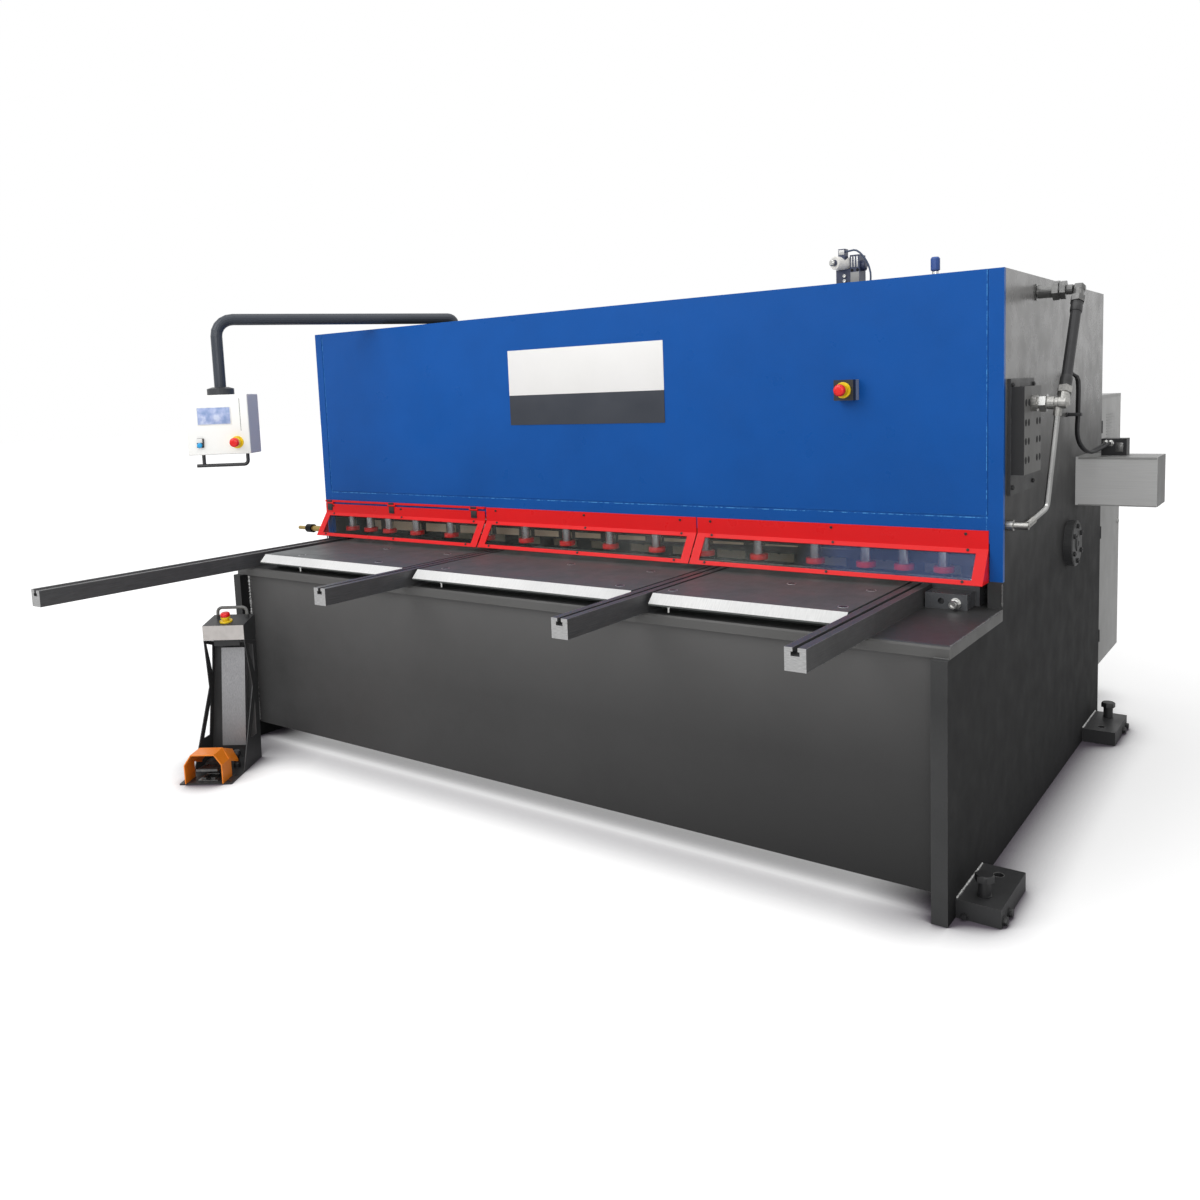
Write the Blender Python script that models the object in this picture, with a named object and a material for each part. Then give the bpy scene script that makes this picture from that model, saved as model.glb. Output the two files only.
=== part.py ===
"""Swing beam shear: a guillotine plate shear with a pendant control and a foot pedal stand."""
import math

import bmesh
import bpy
from mathutils import Matrix, Vector
from mathutils.geometry import interpolate_bezier

# Main sizes in metres; the blue front is the plane y = 0 and x = 0 is midway between the sides
HALF_WIDTH = 1.800
SIDE_THICK = 0.052
SIDE_HEIGHT = 2.065
SIDE_REAR = 1.720
LOWER_FRONT = -0.613
LEDGE_TOP = 0.8895
INSIDE = HALF_WIDTH - SIDE_THICK

# Clearances between pieces that touch, that slide or turn on each other, and that pass each other
FIT = 0.0003
PIN_CLEAR = 0.0005
MOVE_CLEAR = 0.0055

# Bed and table
APRON_THICK = 0.020
APRON_RECESS = 0.053
APRON_BOTTOM = 0.077
LEDGE_THICK = 0.0405
LEDGE_BOTTOM = LEDGE_TOP - LEDGE_THICK
LEDGE_FRONT = LOWER_FRONT + 0.026
LEDGE_ROUND = 0.010
TABLE_TOP = LEDGE_TOP + 0.0705
TABLE_SHEET = 0.040
TABLE_FRONT = LOWER_FRONT + 0.048
TABLE_BEVEL = 0.034
TABLE_RIB_SET_BACK = 0.060
TABLE_REAR = 0.139
BED_REAR = 0.140
BED_BEAM_FRONT = 0.030
BED_BEAM_BOTTOM = 0.300
LOWER_BLADE_THICK = 0.025
LOWER_BLADE_DEPTH = 0.098
BLADE_HALF_LENGTH = INSIDE - 0.108

# Support arms with a T slot along the top, and the gaps from them to the table plates
ARM_WIDTH = 0.068
ARM_REAR = 0.020
ARM_FRONT = LOWER_FRONT - 0.445
LONG_ARM_FRONT = LOWER_FRONT - 1.019
ARM_CENTRES = (-INSIDE + 0.051, -0.313 * HALF_WIDTH, 0.368 * HALF_WIDTH, INSIDE - 0.236)
SLOT_MOUTH = 0.016
SLOT_MOUTH_DEPTH = 0.012
SLOT_WIDE = 0.028
SLOT_WIDE_DEPTH = 0.013
FENCE_RISE = 0.004
FIRST_PLATE_GAP = 0.075
PLATE_GAP_LEFT = 0.016
PLATE_GAP_RIGHT = 0.012

# Front plate and top
FRONT_THICK = 0.020
FRONT_LEG_BOTTOM = TABLE_TOP + 0.025
FRONT_BOTTOM = TABLE_TOP + 0.160
FRONT_LEG_WIDTH = 0.045
GROOVE_WIDTH = 0.005
GROOVE_DEPTH = 0.003
GROOVE_HEIGHT = TABLE_TOP + 0.258
TOP_THICK = 0.020
TOP_DROP = 0.005
TOP_FACE = SIDE_HEIGHT - TOP_DROP

# Guard in three lengths, the left one a flap on three hinges
GUARD_LEFT = -HALF_WIDTH + 0.010
GUARD_RIGHT = INSIDE + 0.004
GUARD_BOTTOM = TABLE_TOP + 0.022
GUARD_FOLD = GUARD_BOTTOM + 0.118
GUARD_TOP = GUARD_FOLD + 0.065
GUARD_LEAN = 0.076
GUARD_SHEET = 0.004
GUARD_JOINT = 0.006
WINDOW_END = 0.040
WINDOW_EDGE = 0.018
PANE_THICK = 0.004
PANE_LAP = 0.006
HINGE_RADIUS = 0.0045
HINGE_Y = -MOVE_CLEAR - HINGE_RADIUS
HINGE_Z = GUARD_TOP - 0.0135
HINGE_BARREL = 0.030
HINGE_SIDE_BARREL = 0.012
HINGE_SHARES = (0.030, 0.445, 0.940)
STRIP_FRONT = -0.012
STRIP_LOW = HINGE_Z + HINGE_RADIUS + 0.001
STRIP_HEIGHT = 0.010

# Hold-downs, spaced in pitches of a twelfth of the half width
HOLD_PITCH = HALF_WIDTH / 12
HOLD_STEPS = (1.0, 1.0, 1.4, 1.67, 1.67, 1.67, 1.67, 1.67, 1.67, 1.67, 1.67, 1.67, 1.4, 1.0, 1.0)
HOLD_CENTRE_X = -0.073
HOLD_Y = 0.100
HOLD_RADIUS = 0.023
HOLD_RING_RADIUS = 0.030
HOLD_RING_HEIGHT = 0.016
HOLD_FOOT = TABLE_TOP + 0.030
HOLD_BAR_BOTTOM = TABLE_TOP + 0.210
HOLD_BAR_TOP = TABLE_TOP + 0.260
HOLD_BAR_HALF = 0.024
RAIL_BOTTOM = TABLE_TOP + 0.170
RAIL_TOP = TABLE_TOP + 0.460
RAIL_REAR = 0.155
RAIL_SLOT_TOP = TABLE_TOP + 0.370

# Swing beam and its pivot
PIVOT_Y = SIDE_REAR - 0.695
PIVOT_Z = TABLE_TOP + 0.020
PIVOT_RADIUS = 0.050
FLANGE_RADIUS = 0.098
FLANGE_THICK = 0.036
FLANGE_EDGE = 0.004
BEAM_HALF = INSIDE - 0.088
BEAM_ARM_THICK = 0.070
BEAM_EYE = 0.115
BEAM_TOP = SIDE_HEIGHT - 0.445
BEAM_FRONT = 0.235
BEAM_REAR = 0.400
BEAM_BOTTOM = TABLE_TOP + 0.040
BEAM_CHEST = TABLE_TOP + 0.160
BEAM_SHOULDER = TABLE_TOP + 0.240
BEAM_BACK_CUT = 0.070
BLADE_FRONT = 0.1750
BLADE_THICK = 0.023
BLADE_TOP = TABLE_TOP + 0.140
BLADE_LOW_END = TABLE_TOP + 0.028
BLADE_HIGH_END = TABLE_TOP + 0.088

# Rear of the frame
REAR_PLATE_THICK = 0.015
REAR_PLATE_BOTTOM = SIDE_HEIGHT - 0.865
CABINET_WIDTH = 0.560
CABINET_DEPTH = 0.530
CABINET_BOTTOM = 0.270
CABINET_TOP = SIDE_HEIGHT - 0.475
CABINET_INSET = 0.006

# Feet
FOOT_WIDTH = 0.140
FOOT_HEIGHT = 0.062
FRONT_FOOT_SPAN = (LOWER_FRONT + 0.078, LOWER_FRONT + 0.373)
REAR_FOOT_SPAN = (SIDE_REAR - 0.360, SIDE_REAR - 0.060)
FOOT_BOLT_INSET = 0.070
FOOT_HOLE_INSET = 0.062
FOOT_HOLE_RADIUS = 0.016
JACK_HEAD_RADIUS = 0.027
JACK_HEAD_HEIGHT = 0.022
JACK_SHAFT_RADIUS = 0.017
JACK_RISE = 0.072

# Hydraulics on the right side; distances out are measured from the side plate's face
PORT_OUT = 0.149
PORT_Y = 0.427
PORT_Z = SIDE_HEIGHT - 0.061
TEE_OUT = 0.157
TEE_Y = 0.150
TEE_Z = PORT_Z - 0.402
PIPE_OUT = 0.143
PIPE_BEND_OUT = 0.106
PIPE_BEND_Y = 0.156
PIPE_BEND_Z = TEE_Z - 0.368
LOW_PORT_OUT = 0.062
LOW_PORT_Y = 0.045
LOW_PORT_Z = TEE_Z - 0.420
ELBOW_RADIUS = 0.021
ELBOW_LENGTH = 0.062
NUT_RADIUS = 0.025
NUT_LENGTH = 0.026
HOSE_RADIUS = 0.018
PIPE_RADIUS = 0.010
BRANCH_LENGTH = 0.045
MANIFOLD_PLATE_Y = (0.045, 0.365)
MANIFOLD_PLATE_Z = (TEE_Z - 0.317, TEE_Z + 0.088)
MANIFOLD_PLATE_THICK = 0.012
MANIFOLD_BLOCK_Y = (0.045, 0.280)
MANIFOLD_BLOCK_Z = (TEE_Z - 0.245, TEE_Z + 0.060)
MANIFOLD_BLOCK_THICK = 0.044

# Box on the right side with its plug and two cables
SIDE_BOX_REACH = 0.317
SIDE_BOX_Y = (SIDE_REAR - 0.570, SIDE_REAR - 0.345)
SIDE_BOX_Z = (TABLE_TOP + 0.169, TABLE_TOP + 0.379)
CONNECTOR_OUT = (0.086, 0.186)
CONNECTOR_INSET = (0.085, 0.160)
CONNECTOR_HEIGHT = 0.074
CABLE_RADIUS = 0.007
CABLE_SPREAD = 0.009
CABLE_RISE = 0.362
CABLE_OFF_WALL = 0.040
CABLE_LEAD = 0.165
CABLE_LOW = 0.028
CABLE_BEND = 0.040

# Blade gap adjuster that sticks out on the left
ADJUSTER_REACH = 0.283
ADJUSTER_Y = 0.030
ADJUSTER_Z = TABLE_TOP + 0.035
ADJUSTER_RADIUS = 0.010

# Block beside the last support arm
END_BLOCK_SPAN = (-0.075, 0.030)
END_BLOCK_RIGHT = INSIDE - 0.048
END_BLOCK_DROP = 0.015
END_BLOCK_HOLE = 0.012

# Fittings on the top and the stop button on the front
VALVE_BLOCK = (HALF_WIDTH - 0.630, HALF_WIDTH - 0.575, 0.070, 0.130)
VALVE_BLOCK_HEIGHT = 0.061
VALVE_BODY_WIDTH = 0.037
VALVE_BODY_HEIGHT = 0.111
COIL_RADIUS = 0.0235
COIL_LENGTH = 0.085
COIL_TURN = math.radians(-20.0)
COIL_PLUG = (0.026, 0.032, 0.027)
VALVE_CABLE_RADIUS = 0.0035
VALVE_CABLE_REACH = 0.096
BREATHER_XY = (HALF_WIDTH - 0.265, 0.100)
FRONT_STOP_X = HALF_WIDTH - 0.555
FRONT_STOP_Z = SIDE_HEIGHT - 0.394
FRONT_STOP_HALF = 0.038
FRONT_STOP_DEPTH = 0.055

# Pendant control
PENDANT_FOOT_XY = (-HALF_WIDTH + 0.680, 0.376)
PENDANT_END_XY = (-HALF_WIDTH + 0.110, LOWER_FRONT - 0.065)
PENDANT_FOOT_HEIGHT = 0.016
PENDANT_AXIS_Z = SIDE_HEIGHT + 0.052
PENDANT_TUBE = 0.0275
PENDANT_BEND = 0.080
PENDANT_BOX_TOP = PENDANT_AXIS_Z - 0.362
PENDANT_DROP_END = PENDANT_BOX_TOP + 0.038
PENDANT_BOX_SIZE = (0.306, 0.150, 0.286)
PENDANT_BOX_TURN = math.radians(35.3)
PENDANT_COLLAR_RADIUS = 0.063

# Foot pedal stand, in its own axes: x across, y to its back, from the middle of its base
STAND_PLACE = (-HALF_WIDTH + 0.336, LOWER_FRONT - 0.375)
STAND_TURN = math.radians(32.8)
STAND_BASE_HALF = 0.121
STAND_BASE_FRONT = -0.159
STAND_BASE_REAR = 0.196
STAND_BASE_THICK = 0.006
STAND_SHEET = 0.004
STAND_HEAD_HALF = 0.100
STAND_HEAD_FRONT = 0.146
STAND_HEAD_REAR = 0.290
STAND_HEAD_LOW = 0.594
STAND_HEAD_FACE = 0.070
STAND_HEAD_TOP = STAND_HEAD_LOW + 0.093
STAND_HEAD_UNDER = STAND_HEAD_LOW - 0.034
STAND_WAIST = (0.184, 0.358)
STAND_BACK_REAR = 0.300
STAND_COLUMN = (-0.051, 0.064, 0.038, 0.066, 0.535)

# Pedal and its hood, in the stand's axes
HOOD_CENTRE = -0.004
HOOD_HALF = 0.089
HOOD_HEIGHT = 0.141
HOOD_SHEET = 0.005
HOOD_CORNER = (0.034, 0.048)
HOOD_FRONT = -0.165
HOOD_REAR = -0.068
HOOD_TAIL = 0.105
HOOD_TAIL_DROP = 0.058
HOOD_TAIL_SLOPE = math.radians(-22.0)
PEDAL_REAR = -0.049
PEDAL_FRONT = -0.140
PEDAL_AXIS_Z = 0.046
PEDAL_HALF = 0.050
PEDAL_BARREL_RADIUS = 0.007
PEDAL_BARREL_HALF = 0.030


def clear_scene():
    for item in list(bpy.data.objects):
        bpy.data.objects.remove(item, do_unlink=True)


def make_material(name, colour, roughness, metallic=0.0):
    material = bpy.data.materials.new(name)
    material.use_nodes = True
    shader = material.node_tree.nodes["Principled BSDF"]
    shader.inputs["Base Color"].default_value = (*colour, 1.0)
    shader.inputs["Roughness"].default_value = roughness
    shader.inputs["Metallic"].default_value = metallic
    return material


def finish_mesh(name, mesh_data, material, smooth):
    mesh = bpy.data.meshes.new(name)
    bmesh.ops.recalc_face_normals(mesh_data, faces=mesh_data.faces[:])
    mesh_data.to_mesh(mesh)
    mesh_data.free()
    if smooth:
        mesh.shade_smooth()
        mesh.set_sharp_from_angle(angle=math.radians(35.0))
    item = bpy.data.objects.new(name, mesh)
    bpy.context.scene.collection.objects.link(item)
    if material:
        mesh.materials.append(MATERIALS[material])
    item.parent = FRAME
    return item


def extrude_outline(name, outline, start, end, axis, material, smooth=False):
    """Pushes a closed outline along x, y or z from start to end."""
    order = {"x": (2, 0, 1), "y": (0, 2, 1), "z": (0, 1, 2)}[axis]
    mesh_data = bmesh.new()
    rings = []
    for depth in (start, end):
        ring = []
        for first, second in outline:
            local = (first, second, depth)
            ring.append(mesh_data.verts.new((local[order[0]], local[order[1]], local[order[2]])))
        rings.append(ring)
    mesh_data.faces.new(rings[0])
    mesh_data.faces.new(rings[1])
    count = len(outline)
    for index in range(count):
        following = (index + 1) % count
        mesh_data.faces.new((rings[0][index], rings[0][following], rings[1][following], rings[1][index]))
    return finish_mesh(name, mesh_data, material, smooth)


def make_box(name, x_span, y_span, z_span, material):
    x0, x1 = x_span
    y0, y1 = y_span
    outline = [(x0, y0), (x1, y0), (x1, y1), (x0, y1)]
    return extrude_outline(name, outline, z_span[0], z_span[1], "z", material)


def turn_profile(name, profile, centre, axis, material, segments=24):
    """Turns (radius, distance) points round an axis through the centre point."""
    turn = {"x": Matrix.Rotation(math.pi / 2, 4, "Y"), "y": Matrix.Rotation(-math.pi / 2, 4, "X"),
            "z": Matrix.Identity(4)}[axis]
    mesh_data = bmesh.new()
    rings = []
    for radius, distance in profile:
        ring = []
        for step in range(segments):
            angle = 2.0 * math.pi * step / segments
            point = Vector((radius * math.cos(angle), radius * math.sin(angle), distance))
            ring.append(mesh_data.verts.new(turn @ point))
        rings.append(ring)
    for lower, upper in zip(rings, rings[1:]):
        for step in range(segments):
            following = (step + 1) % segments
            mesh_data.faces.new((lower[step], lower[following], upper[following], upper[step]))
    mesh_data.faces.new(rings[0])
    mesh_data.faces.new(rings[-1])
    item = finish_mesh(name, mesh_data, material, segments > 8)
    item.location = centre
    return item


def round_path(corners, bend, steps=5):
    """Replaces each inner corner of a path by an arc of the bend radius."""
    points = [Vector(corners[0])]
    for before, corner, after in zip(corners, corners[1:], corners[2:]):
        corner = Vector(corner)
        incoming = (Vector(before) - corner).normalized()
        outgoing = (Vector(after) - corner).normalized()
        half = incoming.angle(outgoing) / 2.0
        reach = bend / math.tan(half)
        centre = corner + (incoming + outgoing).normalized() * (bend / math.sin(half))
        start = corner + incoming * reach - centre
        end = corner + outgoing * reach - centre
        for step in range(steps + 1):
            points.append(centre + start.slerp(end, step / steps) * bend)
    points.append(Vector(corners[-1]))
    return points


def smooth_path(route, spacing):
    """Reads points about one spacing apart from a smooth curve through the route's points."""
    route = [Vector(point) for point in route]
    headings = []
    for index in range(len(route)):
        before = route[max(index - 1, 0)]
        after = route[min(index + 1, len(route) - 1)]
        headings.append((after - before).normalized())
    points = []
    for index, (start, end) in enumerate(zip(route, route[1:])):
        length = (end - start).length
        steps = max(1, round(length / spacing))
        leaving = start + headings[index] * length / 3
        arriving = end - headings[index + 1] * length / 3
        points.extend(interpolate_bezier(start, leaving, arriving, end, steps + 1)[:-1])
    points.append(route[-1])
    return points


def along(start, end, distance):
    """Gives the point that lies at a distance from start on the way to end."""
    start = Vector(start)
    return start + (Vector(end) - start).normalized() * distance


def sweep_tube(name, points, radius, material, segments=14):
    """Runs a round bar through the points, with its section carried along without twist."""
    mesh_data = bmesh.new()
    points = [Vector(point) for point in points]
    tangents = []
    for index in range(len(points)):
        before = points[max(index - 1, 0)]
        after = points[min(index + 1, len(points) - 1)]
        tangents.append((after - before).normalized())
    side = tangents[0].orthogonal().normalized()
    rings = []
    for index, point in enumerate(points):
        side = (side - tangents[index] * side.dot(tangents[index])).normalized()
        other = tangents[index].cross(side)
        ring = []
        for step in range(segments):
            angle = 2.0 * math.pi * step / segments
            offset = side * math.cos(angle) + other * math.sin(angle)
            ring.append(mesh_data.verts.new(point + offset * radius))
        rings.append(ring)
    for lower, upper in zip(rings, rings[1:]):
        for step in range(segments):
            following = (step + 1) % segments
            mesh_data.faces.new((lower[step], lower[following], upper[following], upper[step]))
    mesh_data.faces.new(rings[0])
    mesh_data.faces.new(rings[-1])
    return finish_mesh(name, mesh_data, material, True)


def hide_helper(helper):
    helper.hide_render = True
    helper.display_type = "WIRE"


def combine(target, helper, operation):
    modifier = target.modifiers.new(operation.lower(), "BOOLEAN")
    modifier.operation = operation
    modifier.solver = "EXACT"
    modifier.object = helper
    hide_helper(helper)


def cut_away(target, helper):
    combine(target, helper, "DIFFERENCE")


def fuse(target, helper):
    combine(target, helper, "UNION")


def soften(target, width, segments=2):
    modifier = target.modifiers.new("soften", "BEVEL")
    modifier.width = width
    modifier.segments = segments
    modifier.limit_method = "ANGLE"
    modifier.angle_limit = math.radians(40.0)


def carry(holder, items):
    for item in items:
        item.parent = holder
        item.matrix_parent_inverse = Matrix.Identity(4)
        item.location = Vector(item.location) - holder.location


def make_holder(name, location, turn=0.0):
    holder = bpy.data.objects.new(name, None)
    bpy.context.scene.collection.objects.link(holder)
    holder.parent = FRAME
    holder.location = location
    holder.rotation_euler = (0.0, 0.0, turn)
    return holder


def build_sides():
    outline = [
        (LOWER_FRONT, 0.0),
        (SIDE_REAR, 0.0),
        (SIDE_REAR, SIDE_HEIGHT),
        (FRONT_THICK + FIT, SIDE_HEIGHT),
        (FRONT_THICK + FIT, FRONT_LEG_BOTTOM - FIT),
        (0.0, FRONT_LEG_BOTTOM - FIT),
        (0.0, LEDGE_BOTTOM - FIT),
        (LOWER_FRONT, LEDGE_BOTTOM - FIT),
    ]
    bore = [(PIVOT_RADIUS + FIT, -2 * SIDE_THICK), (PIVOT_RADIUS + FIT, 2 * SIDE_THICK)]
    for side, label in ((-1, "left"), (1, "right")):
        outer = side * HALF_WIDTH
        plate = extrude_outline("side_plate_" + label, outline, side * INSIDE, outer, "x", "dark_steel")
        cut_away(plate, turn_profile("pivot_hole_" + label, bore, (outer, PIVOT_Y, PIVOT_Z), "x", None, 40))


def build_front():
    leg = HALF_WIDTH - FRONT_LEG_WIDTH
    outline = [
        (-HALF_WIDTH, FRONT_LEG_BOTTOM),
        (-leg, FRONT_LEG_BOTTOM),
        (-leg, FRONT_BOTTOM),
        (leg, FRONT_BOTTOM),
        (leg, FRONT_LEG_BOTTOM),
        (HALF_WIDTH, FRONT_LEG_BOTTOM),
        (HALF_WIDTH, SIDE_HEIGHT),
        (-HALF_WIDTH, SIDE_HEIGHT),
    ]
    plate = extrude_outline("front_plate", outline, 0.0, FRONT_THICK, "y", "blue_paint")
    depth = (-FRONT_THICK, GROOVE_DEPTH)
    half = GROOVE_WIDTH / 2
    for middle, label in ((-INSIDE, "left"), (INSIDE, "right")):
        cut_away(plate, make_box("front_groove_" + label, (middle - half, middle + half), depth,
                                 (GROOVE_HEIGHT, SIDE_HEIGHT + GROOVE_WIDTH), None))
    level_end = INSIDE - 2 * GROOVE_WIDTH
    cut_away(plate, make_box("front_groove_level", (-level_end, level_end), depth,
                             (GROOVE_HEIGHT - GROOVE_WIDTH, GROOVE_HEIGHT), None))


def build_frame_plates():
    span = (-INSIDE + FIT, INSIDE - FIT)
    top_under = TOP_FACE - TOP_THICK
    make_box("top_plate", span, (FRONT_THICK + FIT, SIDE_REAR), (top_under, TOP_FACE), "dark_steel")
    make_box("rear_plate", span, (SIDE_REAR - REAR_PLATE_THICK, SIDE_REAR),
             (REAR_PLATE_BOTTOM, top_under - FIT), "dark_steel")
    apron_front = LOWER_FRONT + APRON_RECESS
    make_box("front_apron", span, (apron_front, apron_front + APRON_THICK),
             (APRON_BOTTOM, LEDGE_BOTTOM - FIT), "dark_steel")
    make_box("bed_beam", span, (BED_BEAM_FRONT, BED_REAR), (BED_BEAM_BOTTOM, LEDGE_BOTTOM - FIT),
             "dark_steel")
    outline = [
        (-FIT, LEDGE_BOTTOM),
        (-FIT, LEDGE_TOP),
        (LEDGE_FRONT + LEDGE_ROUND, LEDGE_TOP),
        (LEDGE_FRONT + 0.3 * LEDGE_ROUND, LEDGE_TOP - 0.3 * LEDGE_ROUND),
        (LEDGE_FRONT, LEDGE_TOP - LEDGE_ROUND),
        (LEDGE_FRONT, LEDGE_BOTTOM),
    ]
    ledge = extrude_outline("bed_ledge", outline, -HALF_WIDTH, HALF_WIDTH, "x", "dark_steel")
    bed = make_box("bed_between_sides", span, (-LEDGE_ROUND, BED_REAR), (LEDGE_BOTTOM, LEDGE_TOP), None)
    fuse(ledge, bed)


def plate_spans():
    """Each table plate lies between two support arms."""
    spans = []
    gap = FIRST_PLATE_GAP
    for left, right in zip(ARM_CENTRES, ARM_CENTRES[1:]):
        spans.append((left + ARM_WIDTH / 2 + gap, right - ARM_WIDTH / 2 - PLATE_GAP_RIGHT))
        gap = PLATE_GAP_LEFT
    return spans


def build_table():
    seat = LEDGE_TOP + FIT
    under = TABLE_TOP - TABLE_SHEET
    outline = [
        (TABLE_FRONT, TABLE_TOP),
        (TABLE_FRONT - TABLE_BEVEL, TABLE_TOP - TABLE_BEVEL),
        (TABLE_FRONT - TABLE_BEVEL, under),
        (TABLE_FRONT + TABLE_RIB_SET_BACK, under),
        (TABLE_FRONT + TABLE_RIB_SET_BACK, seat),
        (TABLE_REAR, seat),
        (TABLE_REAR, TABLE_TOP),
    ]
    for number, span in enumerate(plate_spans(), 1):
        extrude_outline("table_plate_%d" % number, outline, span[0], span[1], "x", "ground_steel")
    blade_front = BED_REAR + FIT
    make_box("lower_blade", (-BLADE_HALF_LENGTH, BLADE_HALF_LENGTH),
             (blade_front, blade_front + LOWER_BLADE_THICK), (TABLE_TOP - LOWER_BLADE_DEPTH, TABLE_TOP),
             "blade_steel")


def build_arms():
    """Bars with a T slot; the long one at the left has a raised edge for squaring the sheet."""
    half = ARM_WIDTH / 2
    seat = LEDGE_TOP + FIT
    mouth = SLOT_MOUTH / 2
    wide = SLOT_WIDE / 2
    ceiling = TABLE_TOP - SLOT_MOUTH_DEPTH
    floor = ceiling - SLOT_WIDE_DEPTH
    outline = [
        (-half, seat),
        (half, seat),
        (half, TABLE_TOP),
        (mouth, TABLE_TOP),
        (mouth, ceiling),
        (wide, ceiling),
        (wide, floor),
        (-wide, floor),
        (-wide, ceiling),
        (-mouth, ceiling),
        (-mouth, TABLE_TOP),
    ]
    fence = [
        (-wide, TABLE_TOP),
        (-wide, TABLE_TOP + FENCE_RISE),
        (-half + FENCE_RISE, TABLE_TOP + FENCE_RISE),
        (-half, TABLE_TOP),
    ]
    names = ("squaring_arm", "support_arm_1", "support_arm_2", "support_arm_3")
    for name, centre in zip(names, ARM_CENTRES):
        is_long = name == "squaring_arm"
        shape = outline + (fence if is_long else [(-half, TABLE_TOP)])
        front = LONG_ARM_FRONT if is_long else ARM_FRONT
        arm = extrude_outline(name, shape, front, ARM_REAR, "y", "ground_steel")
        arm.location.x = centre


def guard_sections():
    length = (GUARD_RIGHT - GUARD_LEFT - 2 * GUARD_JOINT) / 3
    sections = []
    for index, label in enumerate(("left", "centre", "right")):
        start = GUARD_LEFT + index * (length + GUARD_JOINT)
        sections.append((label, start, start + length))
    return sections


def build_guard():
    """Each length is a folded sheet with a window cut in its leaning face and a pane behind it."""
    lean = math.atan2(GUARD_LEAN, GUARD_FOLD - GUARD_BOTTOM)
    slant = math.hypot(GUARD_LEAN, GUARD_FOLD - GUARD_BOTTOM)
    across = GUARD_SHEET * math.cos(lean)
    rise = GUARD_SHEET * math.sin(lean)
    inner_fold = GUARD_FOLD - GUARD_SHEET * math.tan(lean / 2)
    parts = {}
    for label, start, end in guard_sections():
        is_flap = label == "left"
        top = HINGE_Z - HINGE_RADIUS - PIN_CLEAR if is_flap else GUARD_TOP
        back = -MOVE_CLEAR if is_flap else -FIT
        face = back - GUARD_SHEET
        outline = [
            (back, top),
            (face, top),
            (face, GUARD_FOLD),
            (face - GUARD_LEAN, GUARD_BOTTOM),
            (face - GUARD_LEAN + across, GUARD_BOTTOM - rise),
            (back, inner_fold),
        ]
        sheet = extrude_outline("guard_" + label, outline, start, end, "x", "red_paint")
        if label != "centre":
            cheek = [
                (back, inner_fold + GUARD_SHEET),
                (face - GUARD_LEAN + across / 2, GUARD_BOTTOM),
                (back, GUARD_BOTTOM),
            ]
            outer = start if is_flap else end
            inward = GUARD_SHEET if is_flap else -GUARD_SHEET
            fuse(sheet, extrude_outline("guard_cheek_" + label, cheek, outer, outer + inward, "x", None))
        middle = (start + end) / 2
        half = (end - start) / 2 - WINDOW_END
        window = make_box("window_" + label, (-half, half), (-WINDOW_EDGE, WINDOW_EDGE),
                          (-slant + WINDOW_EDGE, -WINDOW_EDGE), None)
        window.location = (middle, face, GUARD_FOLD)
        window.rotation_euler = (-lean, 0.0, 0.0)
        cut_away(sheet, window)
        pane = make_box("guard_pane_" + label, (-half - PANE_LAP, half + PANE_LAP), (0.0, PANE_THICK),
                        (-slant + WINDOW_EDGE - PANE_LAP, -WINDOW_EDGE + PANE_LAP), "clear_pane")
        offset = GUARD_SHEET + FIT
        pane.location = (middle, face + offset * math.cos(lean), GUARD_FOLD - offset * math.sin(lean))
        pane.rotation_euler = (-lean, 0.0, 0.0)
        parts[label] = [sheet, pane, window]
    build_guard_hinges(parts["left"])


def build_guard_hinges(flap_parts):
    """A flap barrel turns between two barrels of the fixed strip at each of three places."""
    sheet = flap_parts[0]
    label, start, end = guard_sections()[0]
    strip = make_box("guard_hinge_strip", (start, end), (STRIP_FRONT, -FIT),
                     (STRIP_LOW, STRIP_LOW + STRIP_HEIGHT), "black_paint")
    leaf_back = -MOVE_CLEAR - PIN_CLEAR
    half = HINGE_BARREL / 2
    barrel = [(HINGE_RADIUS, -half), (HINGE_RADIUS, half)]
    side_barrel = [(HINGE_RADIUS, 0.0), (HINGE_RADIUS, HINGE_SIDE_BARREL)]
    for number, share in enumerate(HINGE_SHARES, 1):
        middle = start + share * (end - start)
        turned = turn_profile("flap_barrel_%d" % number, barrel, (middle, HINGE_Y, HINGE_Z), "x", None, 16)
        leaf = make_box("flap_leaf_%d" % number, (middle - half, middle + half),
                        (leaf_back - GUARD_SHEET + PIN_CLEAR, leaf_back),
                        (HINGE_Z - 2 * HINGE_RADIUS, HINGE_Z), None)
        for helper in (turned, leaf):
            fuse(sheet, helper)
            flap_parts.append(helper)
        for low in (middle - half - PIN_CLEAR - HINGE_SIDE_BARREL, middle + half + PIN_CLEAR):
            fuse(strip, turn_profile("strip_barrel", side_barrel, (low, HINGE_Y, HINGE_Z), "x", None, 16))
            fuse(strip, make_box("strip_leaf", (low, low + HINGE_SIDE_BARREL), (STRIP_FRONT, leaf_back),
                                 (HINGE_Z, STRIP_LOW + STRIP_HEIGHT / 2), None))
    flap_axis = make_holder("guard_flap_axis", (0.0, HINGE_Y, HINGE_Z))
    carry(flap_axis, flap_parts)


def hold_positions():
    position = HOLD_CENTRE_X - HOLD_PITCH * sum(HOLD_STEPS) / 2
    positions = [position]
    for step in HOLD_STEPS:
        position += step * HOLD_PITCH
        positions.append(position)
    return positions


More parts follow.
